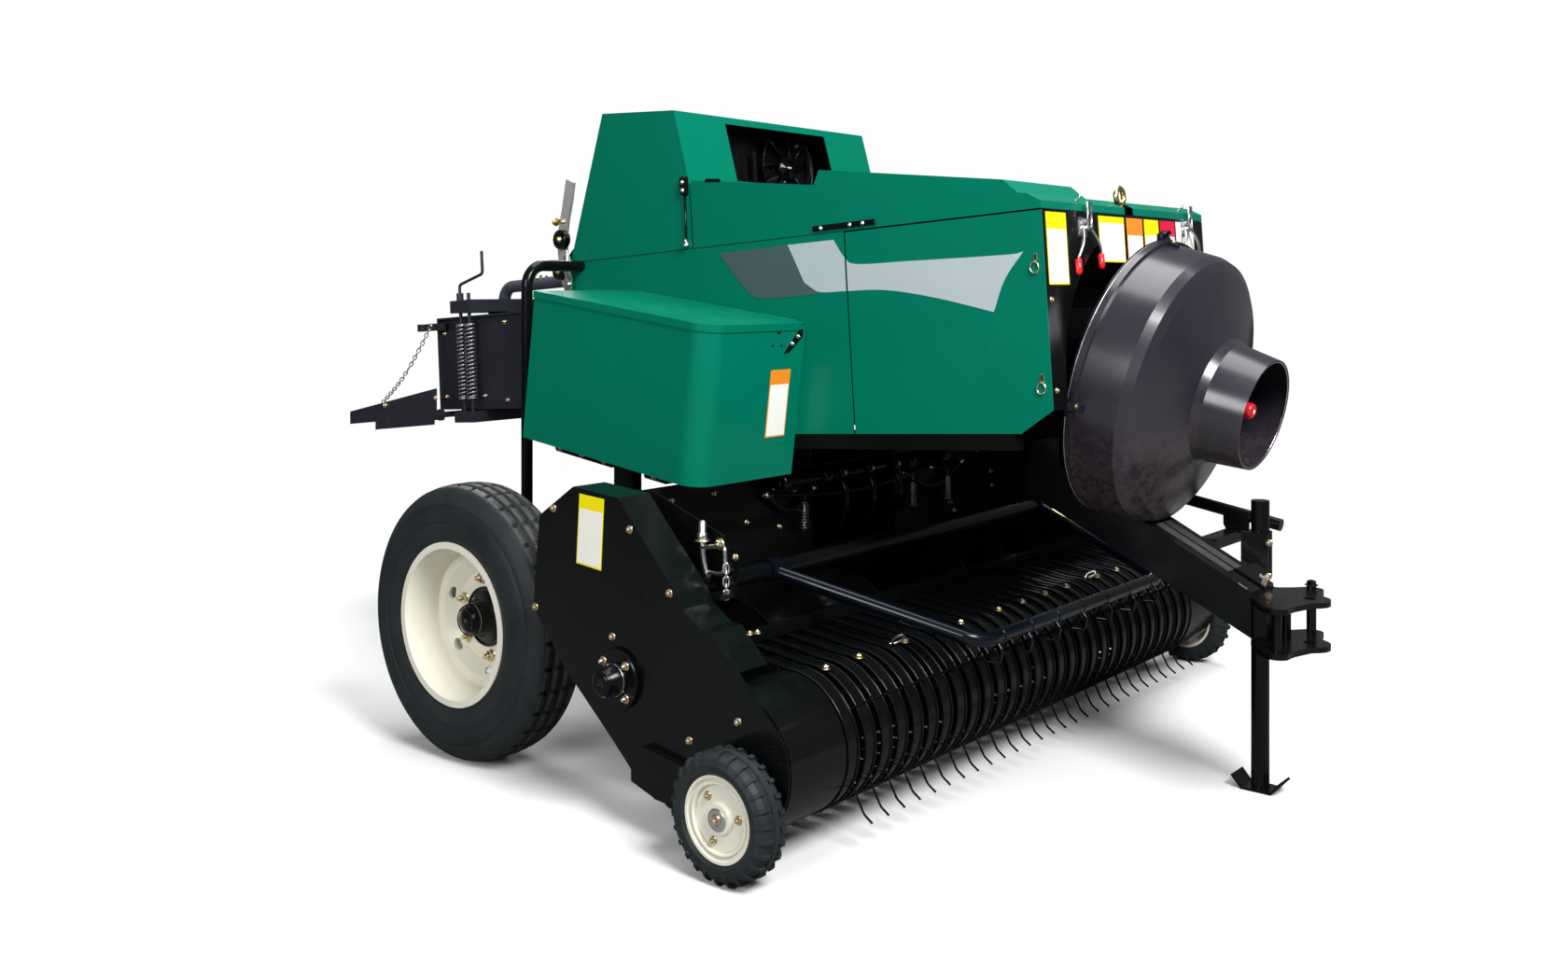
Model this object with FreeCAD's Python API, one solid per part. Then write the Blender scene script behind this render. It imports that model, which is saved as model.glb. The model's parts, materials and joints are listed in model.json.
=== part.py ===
"""Small square baler, towed: body and bale chamber on two wheels, full-width pickup, tongue and jack.

Frame: +X forward, +Y to the machine's left, +Z up, millimetres. The origin is on the ground, under
the middle of the overall length. Places are first worked out from the main axle: "road" places are
level, x from the axle and z from the ground, and "body" places are u along the body and w above the
axle, in a body that parks nose-up by PITCH.
"""
import FreeCAD
import Part
import math
import os

V = FreeCAD.Vector
X_AXIS, Y_AXIS, Z_AXIS = V(1, 0, 0), V(0, 1, 0), V(0, 0, 1)
SIDES = {"right": -1, "left": 1}
SEAT = 0.3                 # gap between pieces that seat on one another
RUN = 0.05                 # radial clearance of a turning shaft
CLEAR = 5.0                # least room round a piece that moves

# ---- driving dimensions ------------------------------------------------------------------------
PITCH = 3.9                # how far the body parks nose-up, degrees
TYRE_R = 411.0
TYRE_WIDTH = 205.0
WHEEL_Y = 1119.0           # middle of a main tyre
RIM_R = 244.0              # bead flange of the main rim
RIM_HALF = 95.0            # half the rim's width
DISC_IN = 45.0             # how far the disc's bolt face stands in from the tyre's middle
STUD_CIRCLE = 118.0
STUDS = 6
HUB_R = 90.0
CAP_R = 47.0
AXLE_BEAM = 90.0
SPINDLE_R = 30.0

SHEET = 3.0                # body sheet
BODY_HALF = 510.0          # outside of the side panels
BODY_REAR = -190.0
BODY_FRONT = 1670.0
SEAM = 1103.0              # top of the side panels, under the hood
SILL = 509.0               # bottom edge of the side panels
DOOR_REAR = 1015.0
DOOR_GAP = 6.0
DOOR_CHAMFER = (100.0, 61.0)
DOOR_PIN_IN = 9.0          # door hinge axis, in from the door's outside
DOOR_PIN_ON = 7.0          # and forward of the door's rear edge
RAIL = 42.0                # square tubes of the body frame

HOOD_REAR = 405.0
HOOD_REAR_TOP = 1321.0
HOOD_FRONT_TOP = 1146.0
HOOD_NOSE = 41.0           # how far the top edge stands back from the front
HOOD_SPLIT = 12.0          # half the gap between the two hood halves
HOOD_PIN = 14.0            # hinge axis, in from the hood's rear and top
HOOD_GAP = 5.0             # from the tower's front to the hood
EYE_BACK = 26.0            # lifting eye, back from the front
EYE_R = 24.0
EYE_WIRE_R = 8.0
BULGE_RISE = 45.0
BULGE_SPAN = (830.0, 1600.0)
BULGE_Y = (40.0, 430.0)

TOWER_REAR_TOP = (9.0, 1597.0)
TOWER_FRONT_TOP = (347.0, 1559.0)
TOWER_KNEE = 1315.0        # where the leaning front face meets the upright one
WINDOW_HALF = 270.0
WINDOW_W = (1335.0, 1535.0)
FAN_R = 145.0
FAN_AT = (250.0, 150.0, 1420.0)   # u, y, w of the fan's hub

CHAMBER_WIDTH = 460.0      # bale section
CHAMBER_HEIGHT = 360.0
CHAMBER_WALL = 8.0
CHAMBER_FLOOR = 596.0
CHAMBER_REAR = -1310.0
CHAMBER_ROOF_END = 520.0
CHAMBER_FLOOR_END = 1150.0
CHAMBER_SIDE_END = 1480.0
FEED_OPENING = (330.0, 640.0)

CHUTE_HINGE = (-1300.0, 893.0)    # road x, z
CHUTE_TIP = -1941.0
CHUTE_HALF = 300.0
CHUTE_FLOOR_START = 105.0  # from the hinge, so that the floor swings up behind the chamber
CHUTE_SLOPE = 6.4
CHUTE_TIP_TOP = 870.0
CHUTE_ROOT_TOP = 1000.0

SPRING_U = (-1115.0, -1060.0)
SPRING_Y = 285.0
SPRING_R = 18.0
CRANK_RISE = 90.0

TWINE_TILT = 7.3           # twine boxes slope down to the front
TWINE_TOP_REAR = (57.0, 1404.0)   # road x, z of the lid's rear edge
TWINE_LENGTH = 745.0
TWINE_HEIGHT = 462.0
TWINE_OUTER = 935.0
TWINE_CORNER = 70.0
LID_LIP = 22.0
LID_EDGE = 8.0             # from the body's side to the lid's hinge axis

DRIVE_TILT = 13.7          # the drive line slopes down to the front
SHIELD_AT = (1620.0, 1156.0)      # road x, z of the shield's rear flange
SHIELD_FLANGE_R = 405.0
SHIELD_BAND_R = 390.0
SHIELD_SHOULDER = 175.0    # from the flange, along the drive line
SHIELD_LENGTH = 381.0
SHIELD_NECK_R = 170.0
SHIELD_MOUTH_R = 151.0
SHIELD_WALL = 5.0
FLYWHEEL_R = 320.0
FLYWHEEL_WIDTH = 75.0
INPUT_SHAFT_R = 17.5
SHAFT_R = 28.0             # flywheel shaft in the gearbox
SHAFT_REAR = -220.0

TONGUE_TOP = (1684.0, 748.0)      # one point of the beam's top edge, road x and z
TONGUE_SLOPE = 26.9
TONGUE_DEPTH = 126.0
TONGUE_HALF = 80.0
TONGUE_ROOT = 1300.0
TONGUE_END = 1985.0
HITCH_PIN_AT = (2115.0, -8.0)     # road x, y: pin hole in the near lobe of the hitch plates
HITCH_LOBE_R = 54.0
HITCH_BOLT_AT = (2078.0, 112.0)   # spacer bolt in the far lobe
HITCH_BOLT_LOBE_R = 32.0
HITCH_BARS = ((2085.0, -160.0), (2036.0, 40.0))
HITCH_TOP = 586.0
HITCH_PLATE = 15.0
HITCH_GAP = 102.0
HITCH_PIN_R = 16.0
JACK_X = 1930.0
JACK_Y = 126.0
JACK_R = 25.0
JACK_TOP = 814.0
BRACE_Y = 300.0
BRACE_R = 18.0
BRACE_REAR = (1500.0, 792.0)      # road x, z
BRACE_FRONT = (1925.0, 720.0)
BRACE_PLATE_X = 1757.0

AUGER_AT = (752.0, 391.0)         # road x, z of the auger, about which the pickup lifts
AUGER_R = 140.0
AUGER_SHAFT_R = 35.0
AUGER_PITCH = 260.0
FLIGHT_SHEET = 5.0
AUGER_SHAFT_OUT = 10.0     # how far the auger shaft runs into the outboard bearing
TROUGH_R = 158.0
HOUSING_Y = 1030.0         # outside of the feeder housing's side walls
HOUSING_WALL = 5.0
HOUSING_TOP = 842.0
PIVOT_REACH = 95.0         # how far the pivot stubs stand out of the housing
END_PLATE_Y = 1235.0       # outside of the pickup's end plates
END_PLATE = 8.0
END_FLANGE = 115.0
END_FLANGE_SHEET = 4.0
PIVOT_R = 55.0

REEL_AT = (1205.0, 250.0)
TINE_R = 235.0             # tip circle
TINE_KNEE = (205.0, 12.5)  # from the reel's axis, and degrees behind the tine's bar
TINE_TIP = (TINE_R, 10.5)
TINE_BARS = 4
TINE_BAR_AT = 105.0
TINE_BAR_R = 12.0
TINES = 28
TINE_SPAN = 1904.0         # first tine to last, along a bar
TINE_WIRE_R = 3.0
BAND_AT = (1155.0, 255.0)
BAND_R = 180.0
BAND_WIDTH = 44.0
BAND_SHEET = 3.0
CROSSBAR_AT = (860.0, 615.0)
CROSSBAR_R = 25.0
CARRIER_AT = (925.0, 470.0)
LOWER_TUBE_AT = (940.0, 120.0)

GUARD_PIVOT_Y = 750.0
GUARD_BAR = (1430.0, 462.0)
GUARD_BAR_HALF = 545.0
GUARD_R = 20.0
GUARD_WIRES = 7
GUARD_WIRE_R = 4.0
PICKUP_LIFT = 15.0         # how far the pickup lifts, degrees

GAUGE_AT = (1194.0, 158.0)
GAUGE_R = 158.0
GAUGE_WIDTH = 98.0
GAUGE_Y = 1297.5
GAUGE_LUGS = 26            # on each shoulder
GAUGE_ARM = 8.0
GAUGE_RIM_R = 104.0

HITCH_TIP = HITCH_PIN_AT[0] + HITCH_LOBE_R
MIDDLE_X = (HITCH_TIP + CHUTE_TIP) / 2


# ---- helpers -------------------------------------------------------------------------------------
def road(shape):
    """Moves a shape from road places to the part's frame."""
    shape.translate(V(-MIDDLE_X, 0, 0))
    return shape


def body(shape):
    """Moves a shape from body places to the part's frame."""
    shape.rotate(V(0, 0, 0), Y_AXIS, -PITCH)
    shape.translate(V(0, 0, TYRE_R))
    return road(shape)


def road_point(u, w):
    """Road x and z of a body place."""
    c, s = math.cos(math.radians(PITCH)), math.sin(math.radians(PITCH))
    return u * c - w * s, TYRE_R + u * s + w * c


def body_point(x, z):
    """Body u and w of a road place."""
    c, s = math.cos(math.radians(PITCH)), math.sin(math.radians(PITCH))
    return x * c + (z - TYRE_R) * s, (z - TYRE_R) * c - x * s


def box(x0, x1, y0, y1, z0, z1):
    return Part.makeBox(abs(x1 - x0), abs(y1 - y0), abs(z1 - z0), V(min(x0, x1), min(y0, y1), min(z0, z1)))


def slab(outline, y0, y1):
    """A plate from y0 to y1 with an outline in the X-Z plane: points, and ("arc", middle, end) for round stretches."""
    low = min(y0, y1)
    place = lambda p: V(p[0], low, p[1])
    start, edges = place(outline[0]), []
    at = start
    for item in list(outline[1:]) + [outline[0]]:
        round_part = item[0] == "arc"
        end = place(item[2] if round_part else item)
        if at.distanceToPoint(end) < 1e-6:
            continue
        edges.append(Part.Arc(at, place(item[1]), end).toShape() if round_part else Part.LineSegment(at, end).toShape())
        at = end
    return Part.Face(Part.Wire(edges)).extrude(V(0, abs(y1 - y0), 0))


def arc(centre, r, first, last):
    """Start point and arc item for a round stretch between two angles, in degrees from +X towards +Z."""
    at = lambda deg: (centre[0] + r * math.cos(math.radians(deg)), centre[1] + r * math.sin(math.radians(deg)))
    return [at(first), ("arc", at((first + last) / 2), at(last))]


def strip(points, thick):
    """Outline of a bent sheet along a line of points, with mitred corners, on the line's right-hand side."""
    normals = []
    for (x0, z0), (x1, z1) in zip(points, points[1:]):
        length = math.hypot(x1 - x0, z1 - z0)
        normals.append(((z1 - z0) / length, (x0 - x1) / length))
    inner = []
    for k, (x, z) in enumerate(points):
        a, b = normals[max(k - 1, 0)], normals[min(k, len(normals) - 1)]
        share = thick / (1 + a[0] * b[0] + a[1] * b[1])
        inner.append((x + (a[0] + b[0]) * share, z + (a[1] + b[1]) * share))
    return points + inner[::-1]


def rod(x, y0, y1, z, r):
    """A round bar along Y."""
    return Part.makeCylinder(r, abs(y1 - y0), V(x, min(y0, y1), z), Y_AXIS)


def ring(x, y0, y1, z, r, bore):
    return rod(x, y0, y1, z, r).cut(rod(x, min(y0, y1) - 1, max(y0, y1) + 1, z, bore))


def post(x, y, z0, z1, r):
    return Part.makeCylinder(r, abs(z1 - z0), V(x, y, min(z0, z1)), Z_AXIS)


def join(shapes):
    whole = shapes[0].multiFuse(shapes[1:]) if len(shapes) > 1 else shapes[0]
    return whole.removeSplitter()


def group(shapes):
    return Part.makeCompound(shapes)


def mirrored(shape):
    return shape.mirror(V(0, 0, 0), Y_AXIS)


def for_side(shape, sign):
    """The right-hand shape, or its mirror image for the left."""
    return shape if sign < 0 else mirrored(shape)


def spun(profile, centre, axis):
    """A solid of revolution: profile is (distance along the axis, radius) points."""
    frame = FreeCAD.Placement(V(*centre), FreeCAD.Rotation(X_AXIS, axis))
    points = [V(a, r, 0) for a, r in profile]
    face = Part.Face(Part.makePolygon(points + points[:1]))
    solid = face.revolve(V(0, 0, 0), X_AXIS, 360)
    solid.Placement = frame
    return solid


def bent_tube(points, r, bend):
    """A round bar along straight runs joined by arcs of one radius."""
    pts = [V(*p) for p in points]
    edges, start = [], pts[0]
    for before, corner, after in zip(pts, pts[1:], pts[2:]):
        a, b = (before - corner).normalize(), (after - corner).normalize()
        half = a.getAngle(b) / 2
        back = bend / math.tan(half)
        middle = corner + (a + b).normalize() * (bend / math.sin(half) - bend)
        edges.append(Part.LineSegment(start, corner + a * back).toShape())
        edges.append(Part.Arc(corner + a * back, middle, corner + b * back).toShape())
        start = corner + b * back
    edges.append(Part.LineSegment(start, pts[-1]).toShape())
    circle = Part.Wire(Part.makeCircle(r, pts[0], pts[1] - pts[0]))
    return Part.Wire(edges).makePipeShell([circle], True, True)


def on_drive(along, radius=0.0):
    """Road x and z of a place on the sloping drive line, or that far above it."""
    c, s = math.cos(math.radians(DRIVE_TILT)), math.sin(math.radians(DRIVE_TILT))
    return SHIELD_AT[0] + along * c + radius * s, SHIELD_AT[1] - along * s + radius * c


DRIVE_AXIS = V(math.cos(math.radians(DRIVE_TILT)), 0, -math.sin(math.radians(DRIVE_TILT)))
WALL_HALF = CHAMBER_WIDTH / 2 + CHAMBER_WALL
CHAMBER_TOP = CHAMBER_FLOOR + CHAMBER_HEIGHT
RAIL_Y = BODY_HALF - SHEET - SEAT          # outside of the frame tubes
RAIL_TOP = SEAM - SHEET                     # top of the frame's upper tubes
RAIL_SILL = SILL - SHEET                    # top of the frame's lower tubes
DOOR_PIN_U = DOOR_REAR + DOOR_GAP / 2 + DOOR_PIN_ON
DOOR_PIN_Y = BODY_HALF - DOOR_PIN_IN
DOOR_BARREL = 46.0
DOOR_HINGES = (SILL + 90, SEAM - 150)


# ---- body frame, axle and wheels -----------------------------------------------------------------
def chassis_frame():
    inner = RAIL_Y - RAIL
    end = BODY_FRONT - DOOR_CHAMFER[0] - RAIL / 2
    parts = []
    for s in SIDES.values():
        parts.append(box(BODY_REAR + SHEET, end, s * inner, s * RAIL_Y, RAIL_SILL - RAIL, RAIL_SILL))
        parts.append(box(BODY_REAR + SHEET, BODY_FRONT - 2 * SHEET, s * inner, s * RAIL_Y,
                         RAIL_TOP - RAIL, RAIL_TOP))
        for u in (BODY_REAR + SHEET, DOOR_REAR - 2 * RAIL, end - RAIL):
            parts.append(box(u, u + RAIL, s * inner, s * RAIL_Y, RAIL_SILL - RAIL, RAIL_TOP))
        for w in DOOR_HINGES:
            deep = s * (DOOR_PIN_Y - 20)
            parts.append(box(DOOR_REAR - RAIL - 2, DOOR_PIN_U + 5, deep, deep + s * 10, w - 8, w))
            parts.append(box(DOOR_PIN_U - 4, DOOR_PIN_U + 5, deep, s * (DOOR_PIN_Y + 4), w - 8, w))
            parts.append(post(DOOR_PIN_U, s * DOOR_PIN_Y, w - 1, w + DOOR_BARREL, 4))
    for u in (BODY_REAR + SHEET, HOOD_REAR - RAIL, BODY_FRONT - 2 * SHEET - RAIL):
        parts.append(box(u, u + RAIL, -RAIL_Y, RAIL_Y, RAIL_TOP - RAIL, RAIL_TOP))
    for u in (BODY_REAR + SHEET, DOOR_REAR - 2 * RAIL, end - 4 * RAIL):
        parts.append(box(u, u + RAIL, -RAIL_Y, RAIL_Y, RAIL_SILL - RAIL, RAIL_SILL))
        for s in SIDES.values():
            parts.append(box(u, u + RAIL, s * (WALL_HALF - RAIL), s * WALL_HALF,
                             RAIL_SILL - RAIL, CHAMBER_FLOOR - CHAMBER_WALL - SEAT))
    notches = [post(DOOR_PIN_U, s * DOOR_PIN_Y, RAIL_TOP - RAIL - 1, RAIL_TOP + 1, 15) for s in SIDES.values()]
    return body(join(parts).cut(group(notches)))


def axle():
    half = AXLE_BEAM / 2
    beam_end = WHEEL_Y - RIM_HALF - 45
    parts = [box(-half, half, -beam_end, beam_end, TYRE_R - half, TYRE_R + half)]
    for s in SIDES.values():
        parts.append(rod(0, s * (beam_end - 10), s * (WHEEL_Y - 30), TYRE_R, SPINDLE_R))
        stand = box(-half, half, s * (RAIL_Y - RAIL), s * RAIL_Y, TYRE_R, TYRE_R + RAIL_SILL)
        ceiling = box(-500, 500, -BODY_HALF, BODY_HALF, RAIL_SILL - RAIL - SEAT, 2 * SEAM)
        ceiling.rotate(V(0, 0, 0), Y_AXIS, -PITCH)
        ceiling.translate(V(0, 0, TYRE_R))
        parts.append(stand.cut(ceiling))
    return road(join(parts))


def main_rim():
    """Right-hand rim, open outwards: a disc set far in, with studs, slots, a hub and its cap."""
    half, lip = RIM_HALF, RIM_R - 14
    barrel = [(-half, RIM_R), (-half, lip - 6), (-35, RIM_R - 38), (15, RIM_R - 38), (half, lip - 6),
              (half, RIM_R), (half - 5, RIM_R), (half - 5, lip), (13, RIM_R - 32), (-33, RIM_R - 32),
              (-half + 5, lip), (-half + 5, RIM_R)]
    face = -DISC_IN
    dish = [(face - 8, 60), (face - 8, 140), (-24, 178), (-24, RIM_R - 37), (-16, RIM_R - 37), (-16, 176),
            (face, 137), (face, 60)]
    hub = [(-half - 35, SPINDLE_R + RUN), (-half - 35, 66), (face - 9, 66), (face - 9, HUB_R - 4), (face + 4, HUB_R - 4),
           (face + 6, HUB_R - 8), (face + 10, CAP_R + 3), (face + 60, CAP_R), (face + 62, CAP_R - 5),
           (face + 78, CAP_R - 12), (face + 84, 0), (-24, 0), (-24, SPINDLE_R + RUN)]
    wheel = join([spun(p, (0, 0, 0), -Y_AXIS) for p in (barrel, dish, hub)])
    tools, nuts = [], []
    for k in range(STUDS):
        turn = 360 / STUDS * k - 10
        slot = Part.Face(Part.Wire(Part.Ellipse(V(0, 0, 0), 20, 11).toShape())).extrude(V(0, 0, 120))
        slot.rotate(V(0, 0, 0), X_AXIS, 90)
        slot.translate(V(0, 40, 158))
        slot.rotate(V(0, 0, 0), Y_AXIS, turn)
        tools.append(slot)
        nut = Part.makeCylinder(11, 16, V(0, DISC_IN + 1, STUD_CIRCLE), -Y_AXIS)
        nut.rotate(V(0, 0, 0), Y_AXIS, turn)
        nuts.append(nut)
    wheel = join([wheel.cut(group(tools))] + nuts)
    wheel.translate(V(0, -WHEEL_Y, TYRE_R))
    return wheel


def main_tyre():
    """Right-hand four-rib tyre, seated on the rim's barrel."""
    half, seat = TYRE_WIDTH / 2, RIM_HALF - 5 - SEAT
    bead = RIM_R - 14 + SEAT
    outline = [(-seat, bead), (-seat, RIM_R + 3), (-seat - 5, RIM_R + 14), (-half, 298), (-half, 330), (-half + 7, 360),
               (-half + 22, TYRE_R - 21), (-half + 37, TYRE_R - 7)]
    for k in range(3):
        groove = -38 + 38 * k
        crown = TYRE_R if k == 1 else TYRE_R - 2
        outline += [(groove - 6, crown), (groove - 4, crown - 13), (groove + 4, crown - 13), (groove + 6, crown)]
    outline += [(-a, r) for a, r in reversed(outline[:8])]
    outline += [(seat - 20, bead + 6), (20 - seat, bead + 6)]
    tyre = spun(outline, (0, 0, 0), -Y_AXIS)
    tyre.translate(V(0, -WHEEL_Y, TYRE_R))
    return tyre


# ---- sheet-metal body ----------------------------------------------------------------------------
def side_panels():
    front = DOOR_REAR - DOOR_GAP / 2
    outline = [(BODY_REAR, SILL), (front, SILL), (front, SEAM - SEAT), (BODY_REAR, SEAM - SEAT)]
    right = slab(outline, -BODY_HALF, -BODY_HALF + SHEET)
    return body(group([right, mirrored(right)]))


def rear_panel():
    """Closes the body's rear over and beside the bale chamber."""
    whole = box(BODY_REAR, BODY_REAR + SHEET - SEAT, -RAIL_Y, RAIL_Y, SILL, SEAM - SEAT)
    hole = box(BODY_REAR - 9, BODY_REAR + 9, -WALL_HALF - SEAT, WALL_HALF + SEAT, 0, CHAMBER_TOP + CHAMBER_WALL + SEAT)
    return body(whole.cut(hole))


def front_panel():
    whole = box(BODY_FRONT - SHEET, BODY_FRONT, -RAIL_Y, RAIL_Y, SILL + DOOR_CHAMFER[1], SEAM - SEAT)
    axle_to_drive = body_point(*on_drive(0))
    hole = Part.makeCylinder(SHIELD_FLANGE_R + 25, 400, V(axle_to_drive[0] - 200, 0, axle_to_drive[1]), X_AXIS)
    return body(whole.cut(hole))


def door(sign):
    rear, front = DOOR_REAR + DOOR_GAP / 2, BODY_FRONT
    du, dw = DOOR_CHAMFER
    outline = [(rear, SILL), (front - du, SILL), (front, SILL + dw), (front, SEAM - CLEAR), (rear, SEAM - CLEAR)]
    plate = slab(outline, sign * (BODY_HALF - SHEET), sign * BODY_HALF)
    at = (DOOR_PIN_U, sign * DOOR_PIN_Y)
    barrels = [post(*at, w + SEAT, w + SEAT + DOOR_BARREL, DOOR_PIN_IN - SHEET + 1) for w in DOOR_HINGES]
    pins = group([post(*at, w - 10, w + DOOR_BARREL + 9, 4 + RUN) for w in DOOR_HINGES])
    return body(join([plate] + barrels).cut(pins).cut(box(0, 2 * BODY_FRONT, sign * BODY_HALF, sign * BODY_HALF * 2, 0, 2 * SEAM)))


def hood_outline(inset):
    """Side view of the hood, drawn in by the sheet's thickness for the inside, and round at its hinge."""
    front, pin, w = BODY_FRONT - inset, HOOD_REAR + HOOD_PIN, HOOD_REAR_TOP - HOOD_PIN
    round_r = HOOD_PIN - inset
    return [(HOOD_REAR + inset, SEAM - inset),
            *arc((pin, w), round_r, 180, 90),
            (BODY_FRONT - HOOD_NOSE, HOOD_FRONT_TOP - inset), (front, SEAM + 20), (front, SEAM - inset)]


def bulge_outline(inset):
    a, b = BULGE_SPAN
    slope = (HOOD_FRONT_TOP - HOOD_REAR_TOP) / (BODY_FRONT - HOOD_NOSE - HOOD_REAR)
    top = HOOD_REAR_TOP + (a - HOOD_REAR) * slope
    low = top + (b - a) * slope
    return [(a + inset, top - 30), (a + inset + 40, top + BULGE_RISE - inset), (b - 90 - inset, low + BULGE_RISE + 6 - inset),
            (b - inset, low - 30)]


def hood(sign):
    y0, y1 = sign * HOOD_SPLIT, sign * BODY_HALF
    shell = slab(hood_outline(0), y0, y1)
    void = slab(hood_outline(SHEET), y0 + sign * SHEET, y1 - sign * SHEET)
    if sign < 0:
        shell = shell.fuse(slab(bulge_outline(0), -BULGE_Y[1], -BULGE_Y[0]))
        void = void.fuse(slab(bulge_outline(SHEET), -BULGE_Y[1] + SHEET, -BULGE_Y[0] - SHEET))
    eye = Part.makeCylinder(EYE_R + EYE_WIRE_R + CLEAR, 400, V(BODY_FRONT - EYE_BACK, 0, SEAM - 200), Z_AXIS)
    whole = shell.cut(void).cut(eye)
    barrel = rod(HOOD_REAR + HOOD_PIN, sign * (BODY_HALF - 60), sign * (BODY_HALF - 1), HOOD_REAR_TOP - HOOD_PIN, 9)
    return body(join([whole, barrel]))


def hood_spine():
    """A plate between the hood halves, with the cross-bolted lifting eye's seat at the front."""
    t = HOOD_SPLIT / 2
    rear, front, bottom = HOOD_REAR + SEAT, BODY_FRONT - 40, RAIL_TOP + SEAT
    outline = [(rear, RAIL_TOP - 20), (rear, HOOD_REAR_TOP - 12), (front, HOOD_FRONT_TOP - 4), (front, bottom),
               (rear + 30, bottom), (rear + 30, RAIL_TOP - 20)]
    return body(slab(outline, -t, t))


def lift_eye():
    u = BODY_FRONT - EYE_BACK
    shank = Part.makeCylinder(EYE_WIRE_R + 1, 36, V(u, 0, RAIL_TOP + SEAT), Z_AXIS)
    loop = Part.makeTorus(EYE_R, EYE_WIRE_R, V(u, 0, RAIL_TOP + 36 + EYE_R), X_AXIS)
    return body(join([shank, loop]))


def knotter_tower():
    outline = [(BODY_REAR + 5, SEAM + SEAT), TOWER_REAR_TOP, TOWER_FRONT_TOP, (HOOD_REAR - HOOD_GAP, TOWER_KNEE),
               (HOOD_REAR - HOOD_GAP, SEAM + SEAT)]
    inside = [(BODY_REAR + 8, SEAM - 9), (TOWER_REAR_TOP[0] + 2, TOWER_REAR_TOP[1] - SHEET),
              (TOWER_FRONT_TOP[0] - SHEET, TOWER_FRONT_TOP[1] - SHEET), (HOOD_REAR - HOOD_GAP - SHEET, TOWER_KNEE),
              (HOOD_REAR - HOOD_GAP - SHEET, SEAM - 9)]
    shell = slab(outline, -BODY_HALF, BODY_HALF).cut(slab(inside, -BODY_HALF + SHEET, BODY_HALF - SHEET))
    window = box(HOOD_REAR - 200, HOOD_REAR + 50, -WINDOW_HALF, WINDOW_HALF, *WINDOW_W)
    u, y, w = FAN_AT
    bar = box(u - 40, u - 20, -BODY_HALF + SHEET, BODY_HALF - SHEET, w - 15, w + 15)
    motor = Part.makeCylinder(40, 45, V(u - 60, y, w), X_AXIS)
    stub = Part.makeCylinder(8, 30, V(u - 20, y, w), X_AXIS)
    return body(join([shell.cut(window), bar, motor, stub]))


def knotter_fan():
    u, y, w = FAN_AT
    hub = Part.makeCylinder(38, 30, V(u, y, w), X_AXIS)
    blades = []
    for k in range(7):
        blade = Part.makeBox(4, 46, FAN_R - 34, V(-2, -23, 30))
        blade.rotate(V(0, 0, 0), Z_AXIS, 35)
        blade.rotate(V(0, 0, 0), X_AXIS, 360 / 7 * k)
        blade.translate(V(u + 15, y, w))
        blades.append(blade)
    bore = Part.makeCylinder(8 + RUN, 40, V(u - 10, y, w), X_AXIS)
    return body(join([hub] + blades).cut(bore))


# ---- bale chamber, chute and bale density clamp ---------------------------------------------------
def bale_chamber():
    floor_low, roof_high = CHAMBER_FLOOR - CHAMBER_WALL, CHAMBER_TOP + CHAMBER_WALL
    parts = [box(CHAMBER_REAR, CHAMBER_FLOOR_END, -WALL_HALF, WALL_HALF, floor_low, CHAMBER_FLOOR),
             box(CHAMBER_REAR, CHAMBER_ROOF_END, -WALL_HALF, WALL_HALF, CHAMBER_TOP, roof_high)]
    for s in SIDES.values():
        parts.append(box(CHAMBER_REAR, CHAMBER_SIDE_END, s * (WALL_HALF - CHAMBER_WALL), s * WALL_HALF, floor_low, roof_high))
        for w in (floor_low, roof_high - CHAMBER_WALL):
            parts.append(box(CHAMBER_REAR, BODY_REAR - 12, s * (WALL_HALF - 1), s * (WALL_HALF + 22), w, w + CHAMBER_WALL))
        parts.append(box(CHAMBER_REAR, CHAMBER_REAR + CHAMBER_WALL, s * (WALL_HALF - 1), s * (WALL_HALF + 22), floor_low, roof_high))
    whole = join(parts)
    feed = box(FEED_OPENING[0], FEED_OPENING[1], -CHAMBER_WIDTH / 2, CHAMBER_WIDTH / 2, floor_low - 9, CHAMBER_FLOOR + 9)
    return body(whole.cut(feed))


def density_clamp():
    """Beams over and under the chamber, tied on both sides by screwed rods with cranks."""
    rear, front = SPRING_U[0] - 35, SPRING_U[1] + 35
    top, bottom = CHAMBER_TOP + CHAMBER_WALL + SEAT, CHAMBER_FLOOR - CHAMBER_WALL - SEAT
    reach = SPRING_Y + 25
    parts = [box(rear, front, -reach, reach, top + 12, top + 62), box(rear, front, -reach, reach, bottom - 50, bottom - 6)]
    parts += [box(rear, front, -120, 120, top, top + 13), box(rear, front, -120, 120, bottom - 7, bottom)]
    for s in SIDES.values():
        for u in SPRING_U:
            parts.append(post(u, s * SPRING_Y, bottom - 10, top + 90, 7))
        u, y, z = SPRING_U[0], s * SPRING_Y, top + 85
        crank = [(u, y, z), (u, y, z + 40), (u + 150, y, z + 75), (u + 150, y, z + 75 + CRANK_RISE)]
        parts.append(bent_tube(crank, 6, 16))
        parts.append(post(u, y, top + 60, top + 92, 14))
    return body(join(parts))


def density_springs():
    low, high = CHAMBER_FLOOR + 35, CHAMBER_TOP - 25
    coils = []
    for s in SIDES.values():
        for u in SPRING_U:
            coil = post(u, s * SPRING_Y, low, high, SPRING_R).cut(post(u, s * SPRING_Y, low - 1, high + 1, 7 + SEAT))
            coils.append(coil)
    return body(group(coils))


def gooseneck():
    w = CHAMBER_TOP + CHAMBER_WALL
    front = BODY_REAR - SEAT
    path = [(-1190, 0, w + SEAT), (-1190, 0, w + 120), (front, 0, w + 120)]
    return body(bent_tube(path, 25, 60))


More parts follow.
